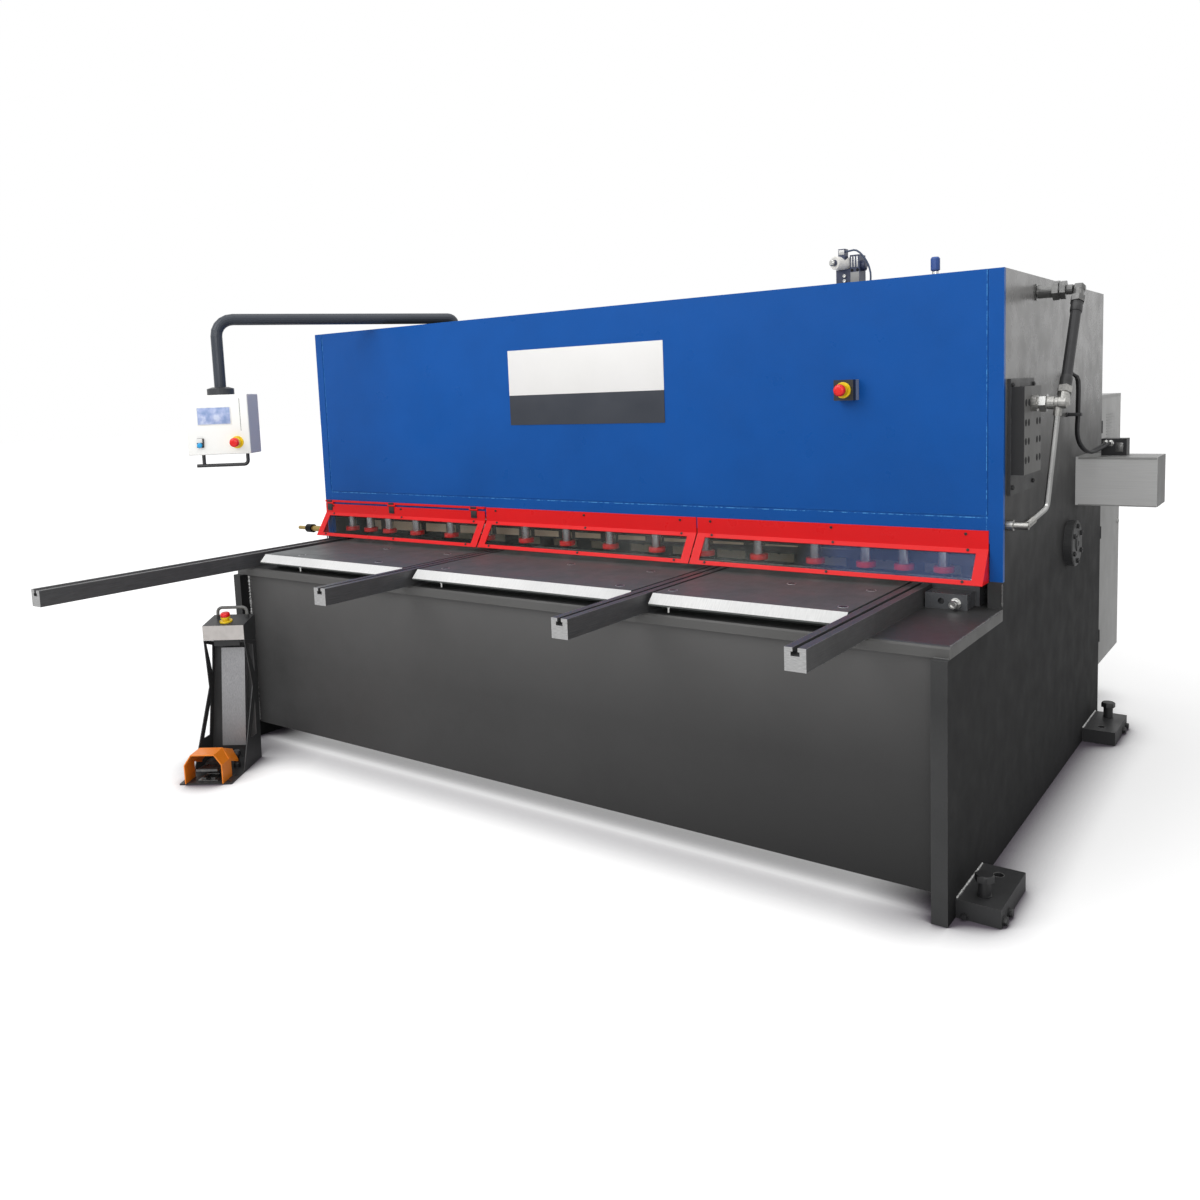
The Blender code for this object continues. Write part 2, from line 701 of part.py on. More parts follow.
def build_hold_downs():
    """The rail is a channel open below; one comb of sixteen plungers slides up and down in it."""
    slot = HOLD_BAR_HALF + PIN_CLEAR
    outline = [
        (FRONT_THICK + FIT, RAIL_BOTTOM),
        (HOLD_Y - slot, RAIL_BOTTOM),
        (HOLD_Y - slot, RAIL_SLOT_TOP),
        (HOLD_Y + slot, RAIL_SLOT_TOP),
        (HOLD_Y + slot, RAIL_BOTTOM),
        (RAIL_REAR, RAIL_BOTTOM),
        (RAIL_REAR, RAIL_TOP),
        (FRONT_THICK + FIT, RAIL_TOP),
    ]
    extrude_outline("hold_down_rail", outline, -INSIDE + FIT, INSIDE - FIT, "x", "dark_steel")
    positions = hold_positions()
    comb = make_box("hold_down_plungers", (positions[0] - HOLD_BAR_HALF, positions[-1] + HOLD_BAR_HALF),
                    (HOLD_Y - HOLD_BAR_HALF, HOLD_Y + HOLD_BAR_HALF), (HOLD_BAR_BOTTOM, HOLD_BAR_TOP),
                    "plunger_steel")
    ring_top = HOLD_FOOT + HOLD_RING_HEIGHT
    profile = [
        (HOLD_RING_RADIUS, HOLD_FOOT),
        (HOLD_RING_RADIUS, ring_top),
        (HOLD_RADIUS, ring_top),
        (HOLD_RADIUS, (HOLD_BAR_BOTTOM + HOLD_BAR_TOP) / 2),
    ]
    for number, position in enumerate(positions, 1):
        fuse(comb, turn_profile("plunger_%d" % number, profile, (position, HOLD_Y, 0.0), "z", None, 20))


def build_beam():
    """The beam with its two rear arms is one body that turns on the pivot pins."""
    seat = BLADE_FRONT + BLADE_THICK + FIT
    outline = [
        (seat, BEAM_BOTTOM),
        (seat, BEAM_CHEST),
        (BEAM_FRONT, BEAM_SHOULDER),
        (BEAM_FRONT, BEAM_TOP),
        (BEAM_REAR, BEAM_TOP),
        (BEAM_REAR, BEAM_CHEST),
        (BEAM_REAR - BEAM_BACK_CUT, BEAM_BOTTOM),
    ]
    beam = extrude_outline("swing_beam", outline, -BEAM_HALF, BEAM_HALF, "x", "dark_steel")
    moving = [beam]
    arm_start = BEAM_REAR - BEAM_BACK_CUT
    arm_outline = [(arm_start, BEAM_BOTTOM + BEAM_BACK_CUT / 2)]
    for angle in range(-105, 61, 15):
        turn = math.radians(angle)
        arm_outline.append((PIVOT_Y + BEAM_EYE * math.cos(turn), PIVOT_Z + BEAM_EYE * math.sin(turn)))
    arm_outline.append((BEAM_REAR - BEAM_BACK_CUT / 4, BEAM_TOP - BEAM_BACK_CUT))
    arm_outline.append((arm_start, BEAM_TOP - BEAM_BACK_CUT))
    bore = [(PIVOT_RADIUS + PIN_CLEAR, -BEAM_ARM_THICK), (PIVOT_RADIUS + PIN_CLEAR, BEAM_ARM_THICK)]
    bores = []
    for side, label in ((-1, "left"), (1, "right")):
        inner = side * (BEAM_HALF - BEAM_ARM_THICK)
        arm = extrude_outline("beam_arm_" + label, arm_outline, inner, side * (BEAM_HALF - FIT), "x", None)
        fuse(beam, arm)
        hole = turn_profile("beam_bore_" + label, bore, (inner, PIVOT_Y, PIVOT_Z), "x", None, 40)
        bores.append(hole)
        moving.extend((arm, hole))
    for hole in bores:
        cut_away(beam, hole)
    blade_outline = [
        (-BLADE_HALF_LENGTH, BLADE_LOW_END),
        (BLADE_HALF_LENGTH, BLADE_HIGH_END),
        (BLADE_HALF_LENGTH, BLADE_TOP),
        (-BLADE_HALF_LENGTH, BLADE_TOP),
    ]
    moving.append(extrude_outline("upper_blade", blade_outline, BLADE_FRONT, BLADE_FRONT + BLADE_THICK, "y",
                                  "blade_steel"))
    pin_end = -(HALF_WIDTH - BEAM_HALF + BEAM_ARM_THICK + FLANGE_EDGE)
    for side, label in ((-1, "left"), (1, "right")):
        profile = [
            (PIVOT_RADIUS, side * pin_end),
            (PIVOT_RADIUS, side * FIT),
            (FLANGE_RADIUS, side * FIT),
            (FLANGE_RADIUS, side * (FLANGE_THICK - FLANGE_EDGE)),
            (FLANGE_RADIUS - FLANGE_EDGE, side * FLANGE_THICK),
        ]
        turn_profile("pivot_flange_" + label, profile, (side * HALF_WIDTH, PIVOT_Y, PIVOT_Z), "x",
                     "dark_steel", 40)
    carry(make_holder("beam_pivot_axis", (0.0, PIVOT_Y, PIVOT_Z)), moving)


def build_foot(name, side, span, bolt_at_front):
    inner = side * (HALF_WIDTH + FIT)
    outer = side * (HALF_WIDTH + FOOT_WIDTH)
    block = make_box(name, (min(inner, outer), max(inner, outer)), span, (0.0, FOOT_HEIGHT), "dark_steel")
    centre_x = side * (HALF_WIDTH + FOOT_WIDTH / 2)
    bolt_y = span[0] + FOOT_BOLT_INSET if bolt_at_front else span[1] - FOOT_BOLT_INSET
    hole_y = span[1] - FOOT_HOLE_INSET if bolt_at_front else span[0] + FOOT_HOLE_INSET
    hole = [(FOOT_HOLE_RADIUS, -FOOT_HEIGHT), (FOOT_HOLE_RADIUS, 2 * FOOT_HEIGHT)]
    cut_away(block, turn_profile(name + "_hole", hole, (centre_x, hole_y, 0.0), "z", None, 20))
    head_top = FOOT_HEIGHT + JACK_RISE
    head_low = head_top - JACK_HEAD_HEIGHT
    jack = [
        (JACK_SHAFT_RADIUS, FOOT_HEIGHT / 2),
        (JACK_SHAFT_RADIUS, head_low),
        (JACK_HEAD_RADIUS, head_low),
        (JACK_HEAD_RADIUS, head_top),
    ]
    fuse(block, turn_profile(name + "_jack", jack, (centre_x, bolt_y, 0.0), "z", None, 12))


def build_feet():
    for side, label in ((-1, "left"), (1, "right")):
        build_foot("foot_front_" + label, side, FRONT_FOOT_SPAN, True)
        build_foot("foot_rear_" + label, side, REAR_FOOT_SPAN, False)


def build_rear_cabinet():
    right = HALF_WIDTH - CABINET_INSET
    rear = SIDE_REAR + FIT + CABINET_DEPTH
    make_box("rear_cabinet", (right - CABINET_WIDTH, right), (SIDE_REAR + FIT, rear),
             (CABINET_BOTTOM, CABINET_TOP), "grey_paint")


def build_hydraulics():
    plate_face = HALF_WIDTH + FIT + MANIFOLD_PLATE_THICK
    make_box("manifold_plate", (HALF_WIDTH + FIT, plate_face), MANIFOLD_PLATE_Y, MANIFOLD_PLATE_Z,
             "dark_steel")
    block_face = plate_face + FIT + MANIFOLD_BLOCK_THICK
    make_box("manifold_block", (plate_face + FIT, block_face), MANIFOLD_BLOCK_Y, MANIFOLD_BLOCK_Z,
             "dark_steel")
    port = (HALF_WIDTH + PORT_OUT, PORT_Y, PORT_Z)
    tee = (HALF_WIDTH + TEE_OUT, TEE_Y, TEE_Z)
    bend = (HALF_WIDTH + PIPE_BEND_OUT, PIPE_BEND_Y, PIPE_BEND_Z)
    pipe_top = (HALF_WIDTH + PIPE_OUT, TEE_Y, TEE_Z)
    low_port = (HALF_WIDTH + LOW_PORT_OUT, LOW_PORT_Y, LOW_PORT_Z)

    flange = [
        (0.030, FIT),
        (0.030, 0.006),
        (0.016, 0.006),
        (0.016, PORT_OUT - 0.100),
        (NUT_RADIUS, PORT_OUT - 0.100),
        (NUT_RADIUS, PORT_OUT - 0.062),
        (ELBOW_RADIUS - 0.003, PORT_OUT - 0.060),
        (ELBOW_RADIUS - 0.003, PORT_OUT - 0.020),
    ]
    port_pipe = turn_profile("port_pipe", flange, (HALF_WIDTH, PORT_Y, PORT_Z), "x", "black_paint", 20)
    add_elbow(port_pipe, "port", port, tee)
    ends = (along(port, tee, ELBOW_LENGTH + FIT), along(tee, port, ELBOW_LENGTH + FIT))
    sweep_tube("pressure_hose", ends, HOSE_RADIUS, "hose_rubber", 18)

    start = block_face + FIT - tee[0]
    nuts = [
        (0.029, start),
        (0.029, start + 0.018),
        (0.020, start + 0.018),
        (0.020, start + 0.024),
        (0.023, start + 0.024),
        (0.023, start + 0.042),
        (0.018, start + 0.043),
        (0.018, start + 0.047),
        (0.023, start + 0.048),
        (0.023, start + 0.074),
        (ELBOW_RADIUS - 0.002, start + 0.075),
        (ELBOW_RADIUS - 0.002, 0.010),
    ]
    tee_fitting = turn_profile("tee_fitting", nuts, tee, "x", "chrome", 18)
    add_elbow(tee_fitting, "tee", tee, port)
    stub_end = along(pipe_top, bend, BRANCH_LENGTH)
    fuse(tee_fitting, sweep_tube("tee_stub", (pipe_top, stub_end), PIPE_RADIUS + 0.004, None))

    low_end = along(low_port, bend, BRANCH_LENGTH)
    pipe = [along(pipe_top, bend, BRANCH_LENGTH + FIT), bend, along(low_port, bend, BRANCH_LENGTH + FIT)]
    sweep_tube("return_pipe", round_path(pipe, 0.030), PIPE_RADIUS, "chrome")
    stem = [
        (0.019, FIT),
        (0.019, 0.024),
        (0.014, 0.026),
        (0.014, LOW_PORT_OUT + 0.012),
    ]
    fitting = turn_profile("low_fitting", stem, (HALF_WIDTH, LOW_PORT_Y, LOW_PORT_Z), "x", "chrome", 18)
    fuse(fitting, sweep_tube("low_branch", (low_port, low_end), PIPE_RADIUS + 0.005, None))


def add_elbow(target, label, centre, towards):
    """Fuses an elbow on a fitting, with a nut at the end that looks at the next fitting."""
    end = along(centre, towards, ELBOW_LENGTH)
    fuse(target, sweep_tube(label + "_elbow", (centre, end), ELBOW_RADIUS - 0.001, None))
    nut_start = along(centre, towards, ELBOW_LENGTH - NUT_LENGTH)
    fuse(target, sweep_tube(label + "_nut", (nut_start, end), NUT_RADIUS, None, 6))
    knee = turn_profile(label + "_knee", [(0.010, -0.022), (0.021, -0.012), (0.021, 0.012), (0.010, 0.022)],
                        centre, "x", None, 18)
    fuse(target, knee)


def build_side_box():
    y0, y1 = SIDE_BOX_Y
    z0, z1 = SIDE_BOX_Z
    side_box = make_box("side_box", (HALF_WIDTH + FIT, HALF_WIDTH + SIDE_BOX_REACH), (y0, y1), (z0, z1),
                        "grey_paint")
    x0 = HALF_WIDTH + CONNECTOR_OUT[0]
    x1 = HALF_WIDTH + CONNECTOR_OUT[1]
    connector_front = y0 + CONNECTOR_INSET[0]
    fuse(side_box, make_box("side_connector", (x0, x1), (connector_front, y0 + CONNECTOR_INSET[1]),
                            (z1 - CONNECTOR_HEIGHT / 4, z1 + CONNECTOR_HEIGHT), None))
    for number, spread in ((1, -CABLE_SPREAD), (2, CABLE_SPREAD)):
        wall_y = y0 - CABLE_LEAD + spread
        away = HALF_WIDTH + CABLE_OFF_WALL - spread / 2
        entry_x = x0 + 3 * CABLE_SPREAD - spread
        entry_z = z1 + 0.74 * CONNECTOR_HEIGHT
        high_z = z1 + CABLE_RISE
        low_z = z1 + CABLE_LOW
        across = entry_x - away
        run = connector_front - wall_y
        route = [
            (HALF_WIDTH + FIT, wall_y, high_z),
            (HALF_WIDTH + 2 * CABLE_RADIUS, wall_y, high_z),
            (away - 0.15 * CABLE_OFF_WALL, wall_y, high_z - 0.4 * CABLE_OFF_WALL),
            (away, wall_y, high_z - 1.2 * CABLE_OFF_WALL),
            (away, wall_y, (high_z + low_z) / 2),
            (away, wall_y + 0.2 * CABLE_BEND, low_z + 1.5 * CABLE_BEND),
            (away + 0.35 * across, wall_y + 0.32 * run, low_z),
            (away + 0.75 * across, wall_y + 0.68 * run, low_z + 0.4 * (entry_z - low_z)),
            (entry_x, connector_front - 2 * CABLE_RADIUS, entry_z),
            (entry_x, connector_front - FIT, entry_z),
        ]
        points = smooth_path(route, 3 * CABLE_RADIUS)
        sweep_tube("side_cable_%d" % number, points, CABLE_RADIUS, "hose_rubber", 10)


def build_end_blocks():
    seat = LEDGE_TOP + FIT
    arm_edge = ARM_CENTRES[-1] + ARM_WIDTH / 2
    block = make_box("end_block_right", (arm_edge + MOVE_CLEAR, END_BLOCK_RIGHT), END_BLOCK_SPAN,
                     (seat, TABLE_TOP - END_BLOCK_DROP), "dark_steel")
    hole = [(END_BLOCK_HOLE, -ARM_WIDTH / 2), (END_BLOCK_HOLE, ARM_WIDTH / 2)]
    hole_x = (arm_edge + END_BLOCK_RIGHT) / 2 - END_BLOCK_DROP
    hole_z = (seat + TABLE_TOP - END_BLOCK_DROP) / 2
    table_end = make_box("bed_end", (plate_spans()[-1][1] + MOVE_CLEAR, END_BLOCK_RIGHT + END_BLOCK_DROP),
                         (ARM_REAR + FIT, TABLE_REAR), (seat, TABLE_TOP), None)
    fuse(block, table_end)
    fuse(block, make_box("bed_end_link", (arm_edge + 2 * MOVE_CLEAR, END_BLOCK_RIGHT - MOVE_CLEAR),
                         (0.0, 2 * ARM_REAR), (seat + MOVE_CLEAR, hole_z), None))
    cut_away(block, turn_profile("end_block_hole", hole, (hole_x, END_BLOCK_SPAN[0], hole_z), "y", None, 16))
    profile = [
        (0.021, FIT),
        (0.021, 0.012),
        (0.016, 0.014),
        (0.016, ADJUSTER_REACH - 0.124),
        (0.024, ADJUSTER_REACH - 0.122),
        (0.024, ADJUSTER_REACH - 0.076),
        (ADJUSTER_RADIUS, ADJUSTER_REACH - 0.074),
        (ADJUSTER_RADIUS, ADJUSTER_REACH),
    ]
    profile = [(radius, -distance) for radius, distance in profile]
    turn_profile("gap_adjuster", profile, (-HALF_WIDTH, ADJUSTER_Y, ADJUSTER_Z), "x", "brass", 16)


def build_top_fittings():
    """A hydraulic valve with a coil at its front, the coil's cable, and a breather."""
    base = TOP_FACE + FIT
    x0, x1, y0, y1 = VALVE_BLOCK
    block = make_box("top_valve_block", (x0, x1), (y0, y1), (base, base + VALVE_BLOCK_HEIGHT), "dark_steel")
    body_end = x1 + VALVE_BODY_WIDTH
    body = make_box("top_valve_body", (x1 - FIT, body_end), (y0 - FIT, y1 + FIT),
                    (base, base + VALVE_BODY_HEIGHT), None)
    fuse(block, body)
    coil_z = base + VALVE_BLOCK_HEIGHT + 0.95 * COIL_RADIUS
    coil_profile = [
        (0.012, -0.012),
        (0.012, 0.0),
        (COIL_RADIUS, 0.0),
        (COIL_RADIUS, COIL_LENGTH),
        (0.012, COIL_LENGTH + 0.010),
    ]
    coil = turn_profile("top_valve_coil", coil_profile, (x0 + 0.013, y0 - 0.042, coil_z), "y", None, 24)
    coil.rotation_euler.z = COIL_TURN
    fuse(block, coil)
    knob_profile = [(0.020, -FIT), (0.020, 0.012), (0.012, 0.016)]
    knob = turn_profile("top_valve_knob", knob_profile, (body_end, (y0 + y1) / 2, coil_z - COIL_RADIUS / 2),
                        "x", None, 20)
    fuse(block, knob)
    width, depth, height = COIL_PLUG
    plug_end = x0 + 0.020 + width
    plug_top = coil_z + COIL_RADIUS + height
    plug_y = y0 - 0.010
    plug_span = (plug_y - depth / 2, plug_y + depth / 2)
    fuse(block, make_box("top_valve_plug", (plug_end - width, plug_end), plug_span,
                         (coil_z + COIL_RADIUS / 2, plug_top), None))
    cable_z = plug_top - 3 * VALVE_CABLE_RADIUS
    cable_x = plug_end + VALVE_CABLE_REACH
    cable_y = plug_y - depth / 2 + 2 * VALVE_CABLE_RADIUS
    route = [
        (plug_end + FIT, cable_y, cable_z),
        (plug_end + 2 * VALVE_CABLE_RADIUS, cable_y, cable_z),
        (plug_end + 0.45 * VALVE_CABLE_REACH, cable_y, cable_z),
        (cable_x - 0.15 * VALVE_CABLE_REACH, cable_y, base + 0.65 * (cable_z - base)),
        (cable_x, cable_y, base + 0.30 * (cable_z - base)),
        (cable_x, cable_y, base + 2 * VALVE_CABLE_RADIUS),
        (cable_x, cable_y, base),
    ]
    sweep_tube("valve_cable", smooth_path(route, 4 * VALVE_CABLE_RADIUS), VALVE_CABLE_RADIUS,
               "hose_rubber", 8)
    profile = [(0.011, 0.0), (0.011, 0.024), (0.0165, 0.028), (0.0165, 0.068), (0.012, 0.074)]
    turn_profile("top_breather", profile, (*BREATHER_XY, base), "z", "black_paint", 16)


def build_front_stop():
    half = FRONT_STOP_HALF
    box = make_box("front_stop", (FRONT_STOP_X - half, FRONT_STOP_X + half), (-FRONT_STOP_DEPTH, -FIT),
                   (FRONT_STOP_Z - half, FRONT_STOP_Z + half), "black_paint")
    fuse(box, build_stop_button("front_stop_button", (FRONT_STOP_X, -FRONT_STOP_DEPTH, FRONT_STOP_Z)))


def build_stop_button(name, place, axis="y"):
    """A round plate with a mushroom head on it, looking forwards or upwards."""
    outward = -1.0 if axis == "y" else 1.0
    profile = [
        (0.029, -0.004),
        (0.029, 0.006),
        (0.014, 0.007),
        (0.014, 0.018),
        (0.021, 0.020),
        (0.021, 0.032),
        (0.016, 0.038),
    ]
    turned = [(radius, outward * distance) for radius, distance in profile]
    return turn_profile(name, turned, place, axis, None, 20)


def build_pendant():
    foot_x, foot_y = PENDANT_FOOT_XY
    end_x, end_y = PENDANT_END_XY
    foot_top = TOP_FACE + FIT + PENDANT_FOOT_HEIGHT
    half_foot = PENDANT_FOOT_HEIGHT / 2
    foot = [(0.055, 0.0), (0.055, half_foot), (0.038, half_foot + 0.002), (0.038, PENDANT_FOOT_HEIGHT)]
    turn_profile("pendant_foot", foot, (foot_x, foot_y, TOP_FACE + FIT), "z", "dark_steel", 24)
    path = [
        (foot_x, foot_y, foot_top + FIT),
        (foot_x, foot_y, PENDANT_AXIS_Z),
        (end_x, end_y, PENDANT_AXIS_Z),
        (end_x, end_y, PENDANT_DROP_END),
    ]
    lower_bend = PENDANT_AXIS_Z - foot_top - half_foot
    points = round_path(path[:3], lower_bend)[:-1] + round_path(path[1:], PENDANT_BEND)[1:]
    arm = sweep_tube("pendant_arm", points, PENDANT_TUBE, "dark_steel", 18)

    width, depth, height = PENDANT_BOX_SIZE
    front = -depth / 2
    low = PENDANT_BOX_TOP - height
    box = make_box("pendant_box", (-width / 2, width / 2), (front, depth / 2), (low, PENDANT_BOX_TOP),
                   "cream_paint")
    soften(box, 0.005, 2)
    collar = [
        (PENDANT_COLLAR_RADIUS, PENDANT_BOX_TOP - 0.010),
        (PENDANT_COLLAR_RADIUS, PENDANT_DROP_END - 0.008),
        (PENDANT_TUBE + 0.012, PENDANT_DROP_END - FIT),
    ]
    inside_parts = [
        turn_profile("pendant_collar", collar, (0.0, 0.0, 0.0), "z", None, 24),
        make_box("pendant_screen", (-0.32 * width, 0.22 * width), (front - 0.003, front + 0.004),
                 (low + 0.53 * height, low + 0.80 * height), None),
        build_stop_button("pendant_stop_button", (0.30 * width, front, low + 0.20 * height)),
    ]
    for part in inside_parts:
        fuse(box, part)
    grip_y = front + 0.020
    grip_left = -0.28 * width
    grip_right = 0.42 * width
    grip_low = low - 0.052
    bar_left = grip_left - 0.034
    bar = [(grip_right, grip_y, low - FIT), (grip_right, grip_y, grip_low), (bar_left, grip_y, grip_low)]
    handle = sweep_tube("pendant_handle", round_path(bar, 0.020, 4), 0.0085, "black_paint", 10)
    post_ends = ((grip_left, grip_y, low - FIT), (grip_left, grip_y, grip_low))
    post = sweep_tube("pendant_post", post_ends, 0.0085, None, 10)
    fuse(handle, post)
    swivel = make_holder("pendant_box_axis", (end_x, end_y, 0.0), PENDANT_BOX_TURN)
    for item in [box, handle, post] + inside_parts:
        item.parent = swivel
    carry(make_holder("pendant_arm_axis", (foot_x, foot_y, 0.0)), [arm, swivel])


def build_stand():
    """The stand is a base with two notched side sheets and a leaning back, a column and a sloping head."""
    stand = make_holder("stand_place", (*STAND_PLACE, 0.0), STAND_TURN)
    thick = STAND_BASE_THICK
    inner = thick / 2
    base = make_box("stand_frame", (-STAND_BASE_HALF, STAND_BASE_HALF), (STAND_BASE_FRONT, STAND_BASE_REAR),
                    (0.0, thick), "dark_steel")
    side_top = STAND_HEAD_LOW - FIT
    side_back = STAND_HEAD_UNDER - FIT
    rear_slope = (STAND_BACK_REAR - STAND_BASE_REAR) / STAND_HEAD_TOP
    back_edge = STAND_BASE_REAR + rear_slope * side_back
    waist_y, waist_z = STAND_WAIST
    side_outline = [
        (-0.016, inner),
        (STAND_BASE_REAR, inner),
        (back_edge, side_back),
        (STAND_HEAD_FRONT, side_top),
        (waist_y, waist_z),
    ]
    upper_notch = [(0.170, 0.572), (0.238, 0.550), (0.226, 0.413)]
    lower_notch = [(0.192, 0.290), (0.100, 0.130), (0.166, 0.126)]
    splay = math.atan2(STAND_BASE_HALF - STAND_HEAD_HALF, STAND_HEAD_LOW)
    helpers = []
    for side, label in ((-1, "left"), (1, "right")):
        edge = side * STAND_BASE_HALF
        sheet = extrude_outline("stand_side_" + label, side_outline, 0.0, -side * STAND_SHEET, "x", None)
        fuse(base, sheet)
        helpers.append(sheet)
        for outline, height in ((upper_notch, "upper"), (lower_notch, "lower")):
            notch = extrude_outline("stand_notch_%s_%s" % (height, label), outline, -0.02, 0.02, "x", None)
            helpers.append(notch)
            cut_away(base, notch)
        for helper in helpers[-3:]:
            helper.location.x = edge
            helper.rotation_euler.y = -side * splay
    lean = math.atan(rear_slope)
    back_y = STAND_BASE_REAR - 0.012
    back_top = (side_back - inner) / math.cos(lean) - 0.006
    middle_low = STAND_BASE_HALF - STAND_SHEET / 2
    middle_high = middle_low - back_top * math.tan(splay)
    back_outline = [(-middle_low, 0.0), (middle_low, 0.0), (middle_high, back_top), (-middle_high, back_top)]
    back = extrude_outline("stand_back", back_outline, 0.0, STAND_SHEET, "y", None)
    left, right, depth, low, high = STAND_COLUMN
    column = make_box("stand_column", (left, right), (-depth - FIT, -FIT), (low, high), "bright_steel")
    for item in (back, column):
        item.location = (0.0, back_y, inner)
        item.rotation_euler.x = -lean
    fuse(base, back)
    helpers.append(back)

    head_outline = [
        (STAND_HEAD_FRONT, STAND_HEAD_LOW),
        (back_edge, STAND_HEAD_UNDER),
        (STAND_HEAD_REAR, STAND_HEAD_TOP),
        (STAND_HEAD_FRONT, STAND_HEAD_LOW + STAND_HEAD_FACE),
    ]
    head = extrude_outline("stand_head", head_outline, -STAND_HEAD_HALF, STAND_HEAD_HALF, "x", "dark_steel")
    grip_left = -0.61 * STAND_HEAD_HALF
    grip_right = 0.83 * STAND_HEAD_HALF
    grip_y = STAND_HEAD_REAR - 0.048
    grip_top = STAND_HEAD_TOP + 0.045
    grip_low = STAND_HEAD_TOP - 0.030
    grip = [
        (grip_left, grip_y, grip_low),
        (grip_left, grip_y, grip_top),
        (grip_right, grip_y, grip_top),
        (grip_right, grip_y, grip_low),
    ]
    handle = sweep_tube("stand_handle", round_path(grip, 0.022, 4), 0.0075, None, 10)
    slope = math.atan2(STAND_HEAD_TOP - STAND_HEAD_LOW - STAND_HEAD_FACE, STAND_HEAD_REAR - STAND_HEAD_FRONT)
    stop_y = STAND_HEAD_FRONT + 0.052
    stop_z = STAND_HEAD_LOW + STAND_HEAD_FACE + 0.052 * math.tan(slope)
    stop = build_stop_button("stand_stop_button", (-0.004, stop_y, stop_z), "z")
    stop.rotation_euler.x = slope
    fuse(head, handle)
    fuse(head, stop)
    build_pedal(stand, base)
    for item in [base, column, head, handle, stop] + helpers:
        item.parent = stand


def build_pedal(stand, base):
    """The pedal turns between two ears of its block, under an arched hood with a tail."""
    low = STAND_BASE_THICK + FIT
    arch = [
        (-HOOD_HALF, low),
        (-HOOD_HALF, HOOD_HEIGHT - HOOD_CORNER[1]),
        (-HOOD_HALF + HOOD_CORNER[0], HOOD_HEIGHT),
        (HOOD_HALF - HOOD_CORNER[0], HOOD_HEIGHT),
        (HOOD_HALF, HOOD_HEIGHT - HOOD_CORNER[1]),
        (HOOD_HALF, low),
    ]
    sheet = HOOD_SHEET
    inner_arch = [
        (HOOD_HALF - sheet, low),
        (HOOD_HALF - sheet, HOOD_HEIGHT - HOOD_CORNER[1] - sheet / 3),
        (HOOD_HALF - HOOD_CORNER[0] - sheet / 3, HOOD_HEIGHT - sheet),
        (-HOOD_HALF + HOOD_CORNER[0] + sheet / 3, HOOD_HEIGHT - sheet),
        (-HOOD_HALF + sheet, HOOD_HEIGHT - HOOD_CORNER[1] - sheet / 3),
        (-HOOD_HALF + sheet, low),
    ]
    hood = extrude_outline("pedal_hood", arch + inner_arch, HOOD_FRONT, HOOD_REAR, "y", "orange_paint")
    tail_outline = [(x, max(z, HOOD_HEIGHT - HOOD_TAIL_DROP) - HOOD_HEIGHT) for x, z in arch + inner_arch]
    tail = extrude_outline("hood_tail", tail_outline, -sheet, HOOD_TAIL, "y", None)
    tail.location = (HOOD_CENTRE, HOOD_REAR, HOOD_HEIGHT - sheet / 4)
    tail.rotation_euler.x = HOOD_TAIL_SLOPE
    hood.location.x = HOOD_CENTRE
    fuse(hood, tail)

    neck = PEDAL_REAR - PEDAL_BARREL_RADIUS - MOVE_CLEAR
    bar = PEDAL_AXIS_Z - PEDAL_BARREL_RADIUS / 2
    tread = [(neck, bar), (neck, bar + 0.010), (PEDAL_FRONT, bar + 0.022), (PEDAL_FRONT, bar + 0.012)]
    pedal = extrude_outline("foot_pedal", tread, -PEDAL_HALF, PEDAL_HALF, "x", "black_paint")
    tongue = make_box("pedal_tongue", (-PEDAL_BARREL_HALF, PEDAL_BARREL_HALF),
                      (neck - MOVE_CLEAR, PEDAL_REAR), (bar + 0.001, bar + 0.008), None)
    barrel_profile = [(PEDAL_BARREL_RADIUS, -PEDAL_BARREL_HALF), (PEDAL_BARREL_RADIUS, PEDAL_BARREL_HALF)]
    barrel = turn_profile("pedal_barrel", barrel_profile, (0.0, PEDAL_REAR, PEDAL_AXIS_Z), "x", None, 16)
    fuse(pedal, tongue)
    fuse(pedal, barrel)
    block_front = PEDAL_REAR + PEDAL_BARREL_RADIUS + MOVE_CLEAR
    block = make_box("pedal_block", (-PEDAL_HALF, PEDAL_HALF), (block_front, block_front + 0.050),
                     (STAND_BASE_THICK / 2, PEDAL_AXIS_Z + 0.016), None)
    fuse(base, block)
    ears = []
    for side in (-1, 1):
        near = side * (PEDAL_BARREL_HALF + PIN_CLEAR)
        far = side * (PEDAL_BARREL_HALF + 0.010)
        ear = make_box("pedal_ear", (min(near, far), max(near, far)),
                       (PEDAL_REAR - 0.006, block_front + 0.010),
                       (STAND_BASE_THICK / 2, PEDAL_AXIS_Z + PEDAL_BARREL_RADIUS), None)
        fuse(base, ear)
        ears.append(ear)
    pedal_axis = make_holder("pedal_axis", (0.0, PEDAL_REAR, PEDAL_AXIS_Z))
    pedal_axis.parent = stand
    carry(pedal_axis, [pedal, tongue, barrel])
    for item in [hood, tail, block] + ears:
        item.parent = stand


def place_frame():
    """Sets the middle of the whole outline over the origin."""
    right = HALF_WIDTH + SIDE_BOX_REACH
    left = -HALF_WIDTH - ADJUSTER_REACH
    rear = SIDE_REAR + FIT + CABINET_DEPTH
    FRAME.location = (-(left + right) / 2, -(LONG_ARM_FRONT + rear) / 2, 0.0)


